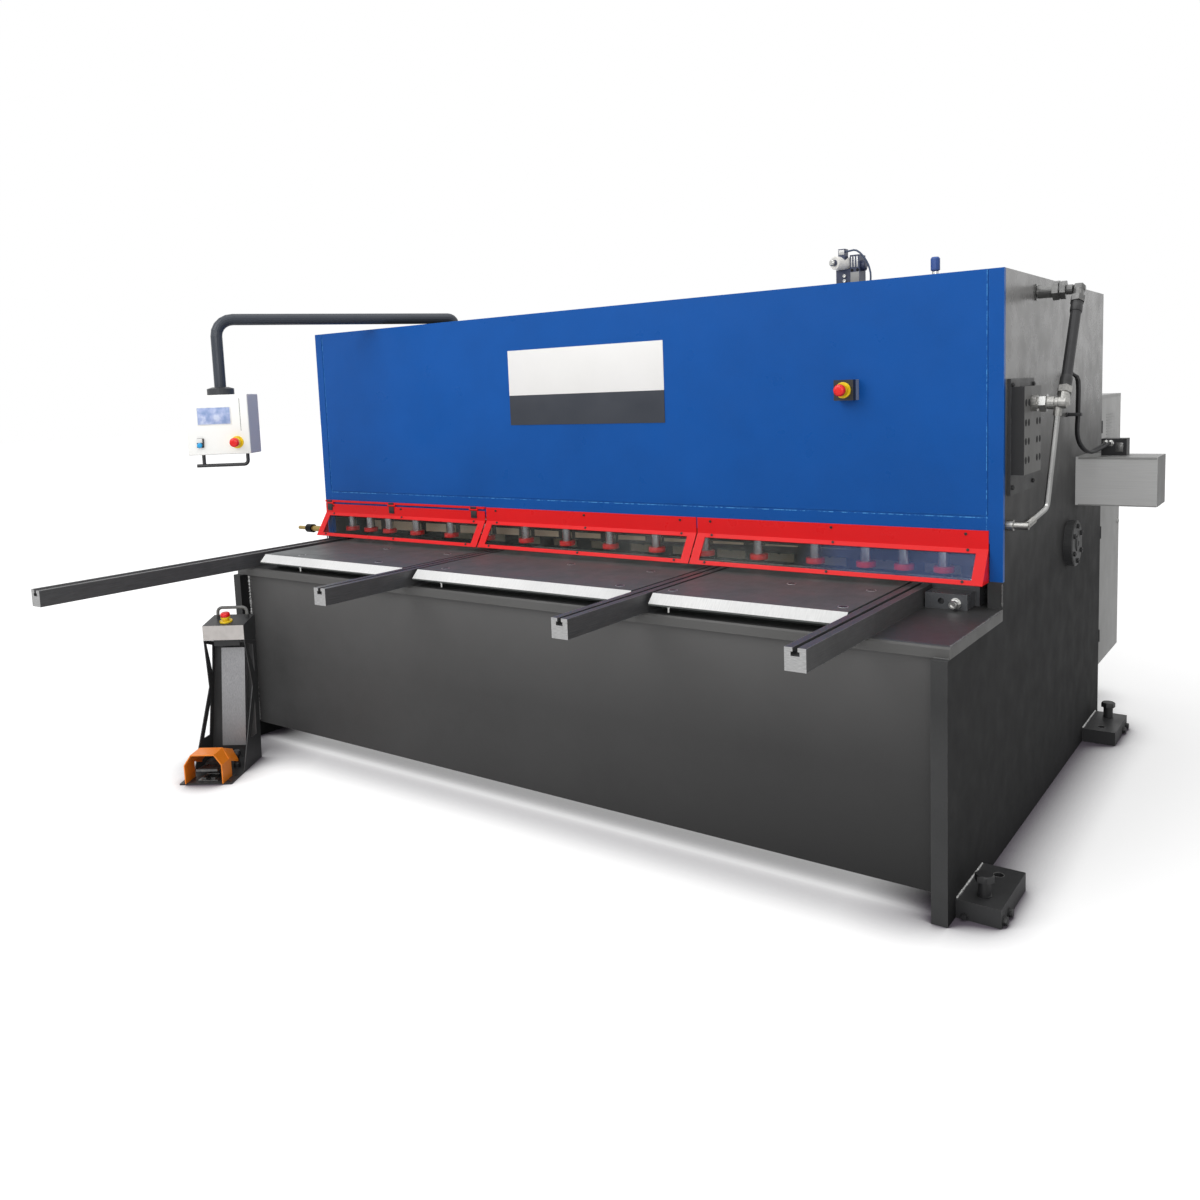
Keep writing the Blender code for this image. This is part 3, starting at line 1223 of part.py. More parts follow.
clear_scene()
FRAME = bpy.data.objects.new("machine_frame", None)
bpy.context.scene.collection.objects.link(FRAME)
MATERIALS = {
    "dark_steel": make_material("dark_steel", (0.045, 0.047, 0.050), 0.45, 0.4),
    "blue_paint": make_material("blue_paint", (0.010, 0.075, 0.340), 0.40),
    "red_paint": make_material("red_paint", (0.620, 0.012, 0.018), 0.40),
    "black_paint": make_material("black_paint", (0.015, 0.015, 0.016), 0.45),
    "grey_paint": make_material("grey_paint", (0.380, 0.390, 0.400), 0.50),
    "cream_paint": make_material("cream_paint", (0.720, 0.700, 0.600), 0.45),
    "orange_paint": make_material("orange_paint", (0.850, 0.230, 0.010), 0.45),
    "ground_steel": make_material("ground_steel", (0.160, 0.165, 0.170), 0.35, 0.8),
    "blade_steel": make_material("blade_steel", (0.450, 0.440, 0.400), 0.35, 0.8),
    "plunger_steel": make_material("plunger_steel", (0.200, 0.205, 0.210), 0.35, 0.7),
    "bright_steel": make_material("bright_steel", (0.500, 0.510, 0.520), 0.30, 0.9),
    "chrome": make_material("chrome", (0.560, 0.560, 0.550), 0.22, 1.0),
    "brass": make_material("brass", (0.500, 0.360, 0.130), 0.35, 1.0),
    "hose_rubber": make_material("hose_rubber", (0.012, 0.012, 0.013), 0.60),
    "clear_pane": make_material("clear_pane", (0.500, 0.530, 0.550), 0.10),
}
build_sides()
build_front()
build_frame_plates()
build_table()
build_arms()
build_guard()
build_hold_downs()
build_beam()
build_feet()
build_rear_cabinet()
build_hydraulics()
build_side_box()
build_end_blocks()
build_top_fittings()
build_front_stop()
build_pendant()
build_stand()
place_frame()
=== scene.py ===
"""Looks of the swing beam shear: camera, light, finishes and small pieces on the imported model."""
import math

import bmesh
import bpy
from mathutils import Matrix, Vector


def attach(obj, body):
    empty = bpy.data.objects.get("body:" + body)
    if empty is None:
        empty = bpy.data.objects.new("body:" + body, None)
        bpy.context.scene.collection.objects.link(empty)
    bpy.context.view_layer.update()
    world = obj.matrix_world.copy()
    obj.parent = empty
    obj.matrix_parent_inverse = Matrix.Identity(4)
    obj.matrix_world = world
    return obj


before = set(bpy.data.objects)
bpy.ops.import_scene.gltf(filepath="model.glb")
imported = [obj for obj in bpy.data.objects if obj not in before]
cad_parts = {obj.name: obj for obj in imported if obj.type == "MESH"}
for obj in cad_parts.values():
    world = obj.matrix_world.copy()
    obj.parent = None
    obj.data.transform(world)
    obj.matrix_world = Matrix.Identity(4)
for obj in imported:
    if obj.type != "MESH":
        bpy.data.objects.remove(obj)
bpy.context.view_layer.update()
scene = bpy.context.scene

MM = 0.001

# Machine coordinates: the blue front is the plane y = 0, x = 0 is midway between the sides, z is up
SHIFT = Vector((-0.017, -0.30915, 0.0))
HALF_WIDTH = 1.8
INSIDE = 1.748
TABLE_TOP = 0.96
GROOVE_Z = TABLE_TOP + 0.258
TOP_PLATE = 2.0603
HOLD_PITCH = 0.2505
PENDANT_TOP = 1.755
SIDE_BOX_TOP = 1.339
FRONT = Vector((0.0, -1.0, 0.0))
RIGHT = Vector((1.0, 0.0, 0.0))
UP = Vector((0.0, 0.0, 1.0))

# Places and turns of the foot pedal stand and of the pendant box
STAND_PLACE = Vector((-1.464, -0.988, 0.0))
STAND_ROTATION = Matrix.Rotation(math.radians(32.8), 3, "Z")
PENDANT_PLACE = Vector((-1.69, -0.678, 0.0))
PENDANT_ROTATION = Matrix.Rotation(math.radians(35.3), 3, "Z")
STAND_BASE = 0.006
COLUMN_LEAN = 0.1516

# Camera, solved from the photo's straight edges: yaw, pitch and roll in degrees, the rest in pixels
CAMERA_PLACE = (2.76033, -3.66635, 1.7005)
CAMERA_ANGLES = (-36.2383, -6.2874, -2.2176)
CAMERA_FOCAL = 1027.993
CAMERA_CENTRE = (599.933, 504.924)
PHOTO_SIZE = 1200
SENSOR_WIDTH = 36.0

# Lamps: name, place, target, size and power
LAMPS = (
    ("key_light", (-2.5, -6.0, 5.5), (0.0, 0.0, 0.8), (5.0, 4.0), 190.0),
    ("fill_light", (4.2, -8.0, 3.4), (0.8, 0.0, 1.0), (4.0, 3.0), 130.0),
    ("top_light", (0.5, -0.5, 7.0), (0.0, 0.0, 1.0), (7.0, 6.0), 150.0),
)
SKY_LIGHT = 0.55
FLOOR_REACH = 60.0
CONTACT_REACH = 0.3


def at(x, y, z):
    """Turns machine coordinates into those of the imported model."""
    return Vector((x, y, z)) + SHIFT


def stand_at(x, y, z):
    """Turns the stand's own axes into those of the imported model."""
    return at(*(STAND_ROTATION @ Vector((x, y, z)) + STAND_PLACE))


def pendant_at(x, y, z):
    """Turns the pendant box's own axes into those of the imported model."""
    return at(*(PENDANT_ROTATION @ Vector((x, y, z)) + PENDANT_PLACE))


STAND_MATRIX = Matrix.Translation(stand_at(0.0, 0.0, 0.0)) @ STAND_ROTATION.to_4x4()
PENDANT_MATRIX = Matrix.Translation(pendant_at(0.0, 0.0, 0.0)) @ PENDANT_ROTATION.to_4x4()


def add_camera():
    yaw, pitch, roll = (math.radians(angle) for angle in CAMERA_ANGLES)
    forward = Vector((math.sin(yaw) * math.cos(pitch), math.cos(yaw) * math.cos(pitch),
                      math.sin(pitch)))
    level = Vector((math.cos(yaw), -math.sin(yaw), 0.0))
    upright = level.cross(forward)
    right = level * math.cos(roll) + upright * math.sin(roll)
    up = upright * math.cos(roll) - level * math.sin(roll)
    data = bpy.data.cameras.new("photo_camera")
    camera = bpy.data.objects.new("photo_camera", data)
    scene.collection.objects.link(camera)
    turned = Matrix((right, up, -forward)).transposed().to_4x4()
    camera.matrix_world = Matrix.Translation(at(*CAMERA_PLACE)) @ turned
    data.sensor_width = SENSOR_WIDTH
    data.lens = CAMERA_FOCAL / PHOTO_SIZE * SENSOR_WIDTH
    data.shift_x = (PHOTO_SIZE / 2 - CAMERA_CENTRE[0]) / PHOTO_SIZE
    data.shift_y = (CAMERA_CENTRE[1] - PHOTO_SIZE / 2) / PHOTO_SIZE
    data.clip_end = 100.0
    scene.camera = camera


# Materials by name
FINISHES = {}


# Node helpers
class Look:
    """A material whose nodes are added from the coordinates towards the shader."""

    def __init__(self, name, roughness=0.4, metallic=0.0):
        FINISHES[name] = bpy.data.materials.new(name)
        FINISHES[name].use_nodes = True
        self.tree = FINISHES[name].node_tree
        self.shader = self.tree.nodes["Principled BSDF"]
        self.shader.inputs["Roughness"].default_value = roughness
        self.shader.inputs["Metallic"].default_value = metallic
        source = self.add("ShaderNodeTexCoord")
        self.coordinates = source.outputs["Object"]
        self.normal = source.outputs["Normal"]

    def add(self, kind, **settings):
        node = self.tree.nodes.new(kind)
        for key, value in settings.items():
            setattr(node, key, value)
        return node

    def link(self, source, target):
        self.tree.links.new(source, target)

    def set(self, name, value):
        self.shader.inputs[name].default_value = value

    def noise(self, scale, detail=4.0, roughness=0.5, stretch=(1.0, 1.0, 1.0)):
        mapping = self.add("ShaderNodeMapping")
        mapping.inputs["Scale"].default_value = [scale * factor for factor in stretch]
        self.link(self.coordinates, mapping.inputs["Vector"])
        texture = self.add("ShaderNodeTexNoise")
        texture.inputs["Scale"].default_value = 1.0
        texture.inputs["Detail"].default_value = detail
        texture.inputs["Roughness"].default_value = roughness
        self.link(mapping.outputs["Vector"], texture.inputs["Vector"])
        return texture.outputs["Fac"]

    def ramp(self, source, stops):
        node = self.add("ShaderNodeValToRGB")
        elements = node.color_ramp.elements
        while len(elements) < len(stops):
            elements.new(0.5)
        for element, (position, colour) in zip(elements, stops):
            element.position = position
            element.color = (*colour, 1.0)
        self.link(source, node.inputs["Fac"])
        return node.outputs["Color"]

    def grey(self, source, low, high, start=0.0, end=1.0):
        """Spreads a value between low and high as the source goes from start to end."""
        node = self.add("ShaderNodeMapRange")
        node.inputs["From Min"].default_value = start
        node.inputs["From Max"].default_value = end
        node.inputs["To Min"].default_value = low
        node.inputs["To Max"].default_value = high
        self.link(source, node.inputs["Value"])
        return node.outputs["Result"]

    def tones(self, source, dark, light):
        return self.ramp(source, [(0.3, dark), (0.7, light)])

    def mix(self, factor, first, second, blend="MIX"):
        node = self.add("ShaderNodeMix", data_type="RGBA", blend_type=blend)
        for name, value in (("Factor", factor), ("A", first), ("B", second)):
            if isinstance(value, tuple):
                node.inputs[name].default_value = (*value, 1.0)
            else:
                self.link(value, node.inputs[name])
        return node.outputs["Result"]

    def maths(self, operation, *values):
        node = self.add("ShaderNodeMath", operation=operation)
        for index, value in enumerate(values):
            if isinstance(value, (int, float)):
                node.inputs[index].default_value = value
            else:
                self.link(value, node.inputs[index])
        return node.outputs["Value"]

    def axis(self, name):
        node = self.add("ShaderNodeSeparateXYZ")
        self.link(self.coordinates, node.inputs["Vector"])
        return node.outputs[name]

    def facing(self, direction, least=0.9):
        """1 where the surface faces along a direction, 0 elsewhere."""
        node = self.add("ShaderNodeVectorMath", operation="DOT_PRODUCT")
        self.link(self.normal, node.inputs[0])
        node.inputs[1].default_value = Vector(direction).normalized()
        return self.maths("GREATER_THAN", node.outputs["Value"], least)

    def above(self, name, level):
        """1 where a coordinate is above a level, 0 elsewhere."""
        return self.maths("GREATER_THAN", self.axis(name), level)

    def below(self, name, level):
        return self.maths("LESS_THAN", self.axis(name), level)

    def band(self, name, middle, half):
        """1 where a coordinate lies within half of the middle, 0 elsewhere."""
        return self.maths("COMPARE", self.axis(name), middle, half)

    def edges(self, radius=0.004):
        """Near 1 along convex and concave edges, 0 on flat faces."""
        bevel = self.add("ShaderNodeBevel", samples=6)
        bevel.inputs["Radius"].default_value = radius
        dot = self.add("ShaderNodeVectorMath", operation="DOT_PRODUCT")
        self.link(bevel.outputs["Normal"], dot.inputs[0])
        self.link(self.add("ShaderNodeNewGeometry").outputs["Normal"], dot.inputs[1])
        return self.grey(dot.outputs["Value"], 1.0, 0.0, 0.72, 0.985)

    def colour(self, source):
        self.link(source, self.shader.inputs["Base Color"])

    def rough(self, source):
        self.link(source, self.shader.inputs["Roughness"])

    def bump(self, height, strength, distance):
        node = self.add("ShaderNodeBump")
        node.inputs["Strength"].default_value = strength
        node.inputs["Distance"].default_value = distance
        self.link(height, node.inputs["Height"])
        self.link(node.outputs["Normal"], self.shader.inputs["Normal"])


def scaled(colour, factor):
    return tuple(min(1.0, channel * factor) for channel in colour)


def paint(name, colour, roughness=0.4, peel=0.25, spread=0.12, worn=None, worn_share=0.5, gloss=0.5,
          marks=None, rough_top=None):
    """Sprayed enamel: slow changes of shade, a fine peel, uneven gloss and lighter edges."""
    look = Look(name, roughness)
    look.set("Specular IOR Level", gloss)
    darker, lighter = scaled(colour, 1 - spread), scaled(colour, 1 + spread)
    shade = look.tones(look.noise(1.7, 5.0, 0.6), darker, lighter)
    speckle = look.grey(look.noise(240.0, 2.0), 0.0, 0.35, 0.35, 0.7)
    shade = look.mix(speckle, shade, scaled(colour, 1 + 1.5 * spread))
    if marks:
        shade = marks(look, shade)
    if worn:
        patches = look.grey(look.noise(35.0), 0.0, 1.0, 0.35, 0.65)
        patchy = look.maths("MULTIPLY", look.edges(), patches)
        shade = look.mix(look.maths("MULTIPLY", patchy, worn_share), shade, worn)
    look.colour(shade)
    uneven = look.grey(look.noise(9.0, 5.0), roughness - 0.07, roughness + 0.07, 0.3, 0.7)
    if rough_top:
        rise = look.grey(look.axis("Z"), 0.0, rough_top - roughness, 0.9, 1.6)
        uneven = look.maths("ADD", uneven, rise)
    look.rough(uneven)
    look.bump(look.noise(420.0, 2.0), peel, 0.0004)


def machined(name, dark, light, roughness=0.3, stretch=(1.0, 40.0, 40.0), scale=14.0, metallic=1.0,
             marks=None, gloss=0.5):
    """Ground or milled metal: fine lines along one axis, stains and uneven gloss."""
    look = Look(name, roughness, metallic)
    look.set("Specular IOR Level", gloss)
    lines = look.noise(scale, 6.0, 0.65, stretch)
    shade = look.ramp(lines, [(0.32, dark), (0.68, light)])
    stains = look.noise(5.0, 6.0, 0.62)
    shade = look.mix(look.grey(stains, 0.0, 0.45, 0.5, 0.72), shade, scaled(dark, 0.75))
    if marks:
        shade = marks(look, shade)
    look.colour(shade)
    look.rough(look.grey(stains, roughness - 0.06, roughness + 0.12, 0.35, 0.7))
    look.bump(lines, 0.1, 0.0003)


def moulded(name, colour, roughness=0.5, grain=0.2):
    """Plastic or rubber with a fine grain."""
    look = Look(name, roughness)
    look.colour(look.tones(look.noise(30.0, 5.0), scaled(colour, 0.85), scaled(colour, 1.15)))
    look.rough(look.grey(look.noise(60.0, 3.0), roughness - 0.06, roughness + 0.06, 0.3, 0.7))
    look.bump(look.noise(700.0, 2.0), grain, 0.0003)


def painted_seam_highlights(look, shade):
    """Joints of the front: a thin ragged lighter line beside each groove, a painted highlight along
    the weld bead.
    """
    ragged = look.grey(look.noise(60.0, 4.0, 0.7), 0.0, 1.0, 0.46, 0.58)
    level = look.band("Z", GROOVE_Z - 0.0075, 0.0016)
    lines = look.maths("MULTIPLY", level, look.band("X", SHIFT.x, INSIDE))
    for side in (1, -1):
        upright = look.band("X", SHIFT.x + side * (INSIDE - 0.0045), 0.001)
        lines = look.maths("MAXIMUM", lines, upright)
    return look.mix(look.maths("MULTIPLY", lines, ragged), shade, (0.09, 0.34, 0.7))


def painted_side_sheen(look, shade):
    """The flat sides of the big side plates: rolled steel with a painted reflection that is lighter
    towards the top, streaked with painted shade.
    """
    height = look.grey(look.axis("Z"), 0.0, 1.0, 0.0, 2.07)
    painted_sheen = look.ramp(height, [(0.0, (0.0055, 0.0058, 0.0062)), (0.45, (0.014, 0.014, 0.0145)),
                                (0.6, (0.036, 0.036, 0.036)), (0.8, (0.15, 0.148, 0.145)),
                                (1.0, (0.27, 0.266, 0.262))])
    streaked_shade = look.grey(look.noise(2.2, 4.0, 0.5, (1.0, 1.0, 0.35)), 0.0, 0.45, 0.45, 0.75)
    painted_sheen = look.mix(streaked_shade, painted_sheen, (0.1, 0.099, 0.097), "MULTIPLY")
    across = look.maths("MAXIMUM", look.facing(RIGHT), look.facing(-RIGHT))
    return look.mix(across, shade, painted_sheen)


def apron_painted_shading(look, shade):
    """Painted light and shade: the apron is lighter under the ledge and darkens a little towards
    the floor at the right.
    """
    high = look.grey(look.axis("Z"), 0.0, 0.65, 0.45, 0.86)
    shade = look.mix(high, shade, (0.12, 0.118, 0.117))
    low = look.grey(look.axis("Z"), 1.0, 0.0, 0.1, 0.8)
    right = look.grey(look.axis("X"), 0.0, 1.0, -1.2, 1.6)
    return look.mix(look.maths("MULTIPLY", low, right), shade, (0.022, 0.022, 0.022))


def ledge_painted_shade(look, shade):
    """Painted shade: the top of the ledge is darker than its front."""
    return look.mix(look.facing(UP), shade, (0.042, 0.042, 0.042))


def bevel_marks(look, shade):
    """The sloping front edge of a table plate is milled bright."""
    strokes = look.noise(9.0, 5.0, 0.6, (26.0, 2.0, 2.0))
    bright = look.tones(strokes, (0.66, 0.66, 0.655), (0.8, 0.8, 0.79))
    clouds = look.grey(look.noise(2.4, 2.0), 0.0, 0.35, 0.4, 0.75)
    bright = look.mix(clouds, bright, (0.42, 0.42, 0.415))
    return look.mix(look.facing((0.0, -1.0, 1.0)), shade, bright)


def end_marks(look, shade):
    """The sawn ends of the arms are bright, and so is the thin edge along their tops."""
    strokes = look.noise(60.0, 5.0, 0.6, (1.0, 1.0, 8.0))
    bright = look.tones(strokes, (0.3, 0.3, 0.3), (0.5, 0.5, 0.5))
    shade = look.mix(look.facing(FRONT), shade, bright)
    return look.mix(look.maths("MULTIPLY", look.edges(0.003), 0.6), shade, (0.42, 0.42, 0.42))


def blade_wax_and_shadows(look, shade):
    """The blade set shows beige guard wax between painted shadows of the hold-downs: dark
    stretches, one per hold-down.
    """
    along = look.maths("MODULO", look.maths("ADD", look.axis("X"), 4.9845), HOLD_PITCH)
    low = look.below("Z", 1.04)
    wax = look.maths("MULTIPLY", look.maths("LESS_THAN", along, 0.15), low)
    return look.mix(wax, shade, (0.85, 0.72, 0.52))


def adjuster_marks(look, shade):
    """A dark clamp block sits on the brass spindle."""
    clamp = look.band("X", SHIFT.x - HALF_WIDTH - 0.184, 0.0245)
    return look.mix(clamp, shade, (0.012, 0.012, 0.012))


def head_marks(look, shade):
    """The front of the stand's head is light grey."""
    handle = look.above("Z", 0.697)
    shade = look.mix(handle, shade, (0.16, 0.16, 0.155))
    light = look.tones(look.noise(30.0), (0.5, 0.475, 0.455), (0.58, 0.55, 0.53))
    low = look.below("Z", 0.664)
    face = look.facing(STAND_ROTATION @ FRONT)
    return look.mix(look.maths("MULTIPLY", face, low), shade, light)


def block_painted_light(look, shade):
    """Painted light: the outer face of the manifold is lighter than its front."""
    return look.mix(look.facing(RIGHT), shade, (0.125, 0.124, 0.121))


def column_painted_shade(look, shade):
    """Painted shade: the stand's column is lighter towards the top and darker towards its foot."""
    high = look.grey(look.axis("Z"), 0.6, 0.0, 0.1, 0.45)
    return look.mix(high, shade, (0.16, 0.16, 0.165))


def collar_marks(look, shade):
    """The swivel collar on top of the box is dark; its right side is a greyer white."""
    shade = look.mix(look.facing(PENDANT_ROTATION @ RIGHT), shade, (0.6, 0.6, 0.62))
    above = look.above("Z", PENDANT_TOP + 0.0005)
    return look.mix(above, shade, (0.04, 0.043, 0.048))


def stop_marks(look, shade):
    """The stop button's box has a light grey back shell."""
    behind = look.above("Y", SHIFT.y - 0.03)
    return look.mix(behind, shade, (0.24, 0.27, 0.33))


def plug_and_painted_light(look, shade):
    """The connector on top of the side box is black; the box's front has brush strokes and painted
    light, its right side painted shade.
    """
    strokes = look.noise(9.0, 5.0, 0.6, (1.0, 1.0, 30.0))
    brushed_and_lit = look.tones(strokes, (0.55, 0.55, 0.545), (0.61, 0.61, 0.605))
    shade = look.mix(look.facing(FRONT), shade, brushed_and_lit)
    shade = look.mix(look.facing(RIGHT), shade, (0.17, 0.17, 0.168))
    above = look.above("Z", SIDE_BOX_TOP + 0.0005)
    return look.mix(above, shade, (0.02, 0.02, 0.022))


# Finishes; a paint's numbers are roughness, peel and spread, then its worn share and its gloss
EDGE_GREY = (0.17, 0.17, 0.17)
paint("dark_paint", (0.036, 0.0365, 0.0375), 0.45, 0.5, 0.16, EDGE_GREY, 0.35, 0.35)
paint("apron_paint", (0.054, 0.0535, 0.0535), 0.5, 0.5, 0.14, EDGE_GREY, 0.35, 0.3, apron_painted_shading)
paint("ledge_paint", (0.088, 0.087, 0.085), 0.42, 0.5, 0.12, (0.25, 0.25, 0.24), 0.5, 0.35,
      ledge_painted_shade)
paint("side_paint", (0.042, 0.0425, 0.043), 0.75, 0.45, 0.2, EDGE_GREY, 0.25, 0.25, painted_side_sheen,
      0.28)
paint("head_paint", (0.036, 0.0365, 0.0375), 0.45, 0.5, 0.16, EDGE_GREY, 0.3, 0.35, head_marks)
paint("blue_paint", (0.004, 0.082, 0.345), 0.34, 0.3, 0.12, (0.04, 0.24, 0.6), 0.5, 0.17,
      painted_seam_highlights)
paint("beige_paint", (0.95, 0.82, 0.6), 0.5, 0.3, 0.1, (0.9, 0.82, 0.65), 0.3)
paint("weld_paint", (0.1, 0.1, 0.1), 0.4, 0.5, 0.3, (0.45, 0.45, 0.44), 0.8, 0.4)
paint("door_white", (0.98, 0.975, 0.945), 0.36, 0.25, 0.015, gloss=0.4)
paint("red_paint", (0.8, 0.0075, 0.0105), 0.33, 0.25, 0.06, (0.85, 0.08, 0.07), 0.4, 0.25)
paint("black_paint", (0.018, 0.018, 0.019), 0.45, 0.3, 0.2)
paint("grey_paint", (0.31, 0.31, 0.305), 0.42, 0.4, 0.06)
paint("box_paint", (0.31, 0.31, 0.305), 0.4, 0.4, 0.06, gloss=0.4, marks=plug_and_painted_light)
paint("cream_paint", (0.96, 0.955, 0.925), 0.38, 0.3, 0.02, gloss=0.4, marks=collar_marks)
paint("orange_paint", (0.86, 0.225, 0.01), 0.35, 0.2, 0.1, (0.95, 0.45, 0.12), 0.4)
machined("table_steel", (0.065, 0.07, 0.068), (0.103, 0.112, 0.108), 0.44, (40.0, 1.0, 40.0),
         metallic=0.0, marks=bevel_marks, gloss=0.22)
machined("arm_steel", (0.055, 0.055, 0.056), (0.1, 0.1, 0.101), 0.42, (40.0, 1.0, 40.0),
         metallic=0.3, marks=end_marks)
machined("blade_steel", (0.045, 0.04, 0.035), (0.085, 0.078, 0.07), 0.45, metallic=0.3,
         marks=blade_wax_and_shadows)
machined("edge_steel", (0.2, 0.2, 0.19), (0.34, 0.34, 0.33), 0.3)
machined("plunger_steel", (0.4, 0.4, 0.41), (0.62, 0.62, 0.63), 0.22, (1.0, 1.0, 60.0), 20.0)
machined("bright_steel", (0.24, 0.24, 0.25), (0.4, 0.4, 0.41), 0.38, (40.0, 40.0, 1.0),
         metallic=0.6, marks=column_painted_shade)
paint("stop_paint", (0.018, 0.018, 0.019), 0.45, 0.3, 0.2, marks=stop_marks)
machined("gun_steel", (0.12, 0.12, 0.12), (0.2, 0.2, 0.195), 0.26, (3.0, 3.0, 3.0), metallic=0.8)
paint("valve_paint", (0.03, 0.04, 0.085), 0.38, 0.3, 0.15)
paint("breather_paint", (0.02, 0.075, 0.3), 0.35, 0.2, 0.15)
paint("block_paint", (0.012, 0.012, 0.013), 0.5, 0.5, 0.16, EDGE_GREY, 0.5, 0.35, block_painted_light)
paint("end_paint", (0.085, 0.088, 0.094), 0.3, 0.5, 0.22, (0.3, 0.3, 0.3), 0.5, 0.45)
paint("pipe_paint", (0.036, 0.043, 0.056), 0.36, 0.4, 0.1, EDGE_GREY, 0.2, 0.4)
moulded("cable_rubber", (0.04, 0.06, 0.11), 0.45)
machined("fitting_steel", (0.26, 0.26, 0.25), (0.47, 0.46, 0.44), 0.32, (8.0, 8.0, 8.0))
machined("screw_steel", (0.42, 0.42, 0.41), (0.74, 0.74, 0.72), 0.24, (30.0, 30.0, 30.0))
machined("weld_steel", (0.3, 0.3, 0.3), (0.7, 0.7, 0.69), 0.34, (60.0, 60.0, 60.0),
         metallic=0.7)
machined("zinc", (0.36, 0.36, 0.355), (0.5, 0.5, 0.49), 0.26, (3.0, 3.0, 1.0), 5.0)
machined("brass", (0.3, 0.21, 0.07), (0.5, 0.37, 0.14), 0.34, (40.0, 4.0, 4.0),
         marks=adjuster_marks)
moulded("hose_rubber", (0.014, 0.014, 0.016), 0.52)
moulded("black_plastic", (0.018, 0.018, 0.02), 0.42)
moulded("red_plastic", (0.78, 0.01, 0.01), 0.28, 0.05)
moulded("yellow_plastic", (0.88, 0.6, 0.008), 0.35, 0.05)
moulded("blue_plastic", (0.02, 0.36, 0.72), 0.3, 0.05)
moulded("cream_plastic", (0.78, 0.765, 0.73), 0.35, 0.05)
moulded("white_plastic", (0.82, 0.82, 0.8), 0.35, 0.05)
# Painted shade: near-black for the insides of holes and recesses in the feet, manifold, back gauge,
# valve and blade
moulded("painted_hole_shade", (0.004, 0.004, 0.005), 0.85)


def add_pane_look():
    """Clear sheet with a light haze and wipe marks, and a painted blue reflection towards the right
    end that also makes it less clear.
    """
    look = Look("clear_pane", 0.08)
    haze = look.noise(5.0, 5.0, 0.6)
    shade = look.tones(haze, (0.06, 0.066, 0.06), (0.15, 0.165, 0.15))
    # Painted reflection: towards the right end the pane is tinted blue and made less clear
    right = look.grey(look.axis("X"), 0.0, 1.0, 1.02, 1.2)
    look.colour(look.mix(right, shade, (0.12, 0.18, 0.38)))
    cover = look.grey(haze, 0.04, 0.14, 0.35, 0.75)
    cover = look.maths("ADD", cover, look.maths("MULTIPLY", right, 0.12))
    look.link(cover, look.shader.inputs["Alpha"])
    look.rough(look.grey(look.noise(25.0), 0.05, 0.16, 0.3, 0.7))
    look.bump(look.noise(1.5), 0.2, 0.004)


def add_screen_look():
    """A lit display: soft blue-grey areas and a lighter reflection."""
    look = Look("screen", 0.18)
    areas = look.noise(28.0, 3.0, 0.5)
    tones = [(0.35, (0.26, 0.36, 0.62)), (0.55, (0.42, 0.5, 0.76)), (0.72, (0.66, 0.72, 0.9))]
    look.colour(look.ramp(areas, tones))
    look.rough(look.grey(look.noise(80.0), 0.12, 0.26, 0.3, 0.7))


add_pane_look()
add_screen_look()

NODE_FINISHES = {
    "dark_paint": (
        "bed_beam top_plate rear_plate manifold_plate hold_down_rail swing_beam"
        " foot_front_left foot_front_right foot_rear_left foot_rear_right stand_frame"
        " pivot_flange_left pivot_flange_right"
    ),
    "pipe_paint": "pendant_arm pendant_foot",
    "block_paint": "manifold_block",
    "end_paint": "end_block_right",
    "valve_paint": "top_valve_block",
    "breather_paint": "top_breather",
    "gun_steel": "port_pipe foot_pedal",
    "cable_rubber": "valve_cable",
    "apron_paint": "front_apron",
    "ledge_paint": "bed_ledge",
    "side_paint": "side_plate_left side_plate_right",
    "head_paint": "stand_head",
    "blue_paint": "front_plate",
    "red_paint": "guard_left guard_centre guard_right guard_hinge_strip",
    "clear_pane": "guard_pane_left guard_pane_centre guard_pane_right",
    "table_steel": "table_plate_1 table_plate_2 table_plate_3",
    "arm_steel": "squaring_arm support_arm_1 support_arm_2 support_arm_3",
    "blade_steel": "upper_blade",
    "edge_steel": "lower_blade",
    "plunger_steel": "hold_down_plungers",
    "bright_steel": "stand_column",
    "fitting_steel": "tee_fitting low_fitting",
    "zinc": "return_pipe",
    "brass": "gap_adjuster",
    "grey_paint": "rear_cabinet",
    "box_paint": "side_box",
    "cream_paint": "pendant_box",
    "orange_paint": "pedal_hood",
    "hose_rubber": "pressure_hose side_cable_1 side_cable_2",
    "stop_paint": "front_stop",
    "black_plastic": "pendant_handle",
}
for finish, names in NODE_FINISHES.items():
    for name in names.split():
        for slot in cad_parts[name].material_slots:
            slot.material = FINISHES[finish]


# Light, floor and sky
def add_lamps():
    for name, place, target, size, energy in LAMPS:
        data = bpy.data.lights.new(name, "AREA")
        data.shape = "RECTANGLE"
        data.size, data.size_y = size
        data.energy = energy
        lamp = bpy.data.objects.new(name, data)
        scene.collection.objects.link(lamp)
        lamp.location = place
        lamp.rotation_euler = (Vector(target) - Vector(place)).to_track_quat("-Z", "Y").to_euler()


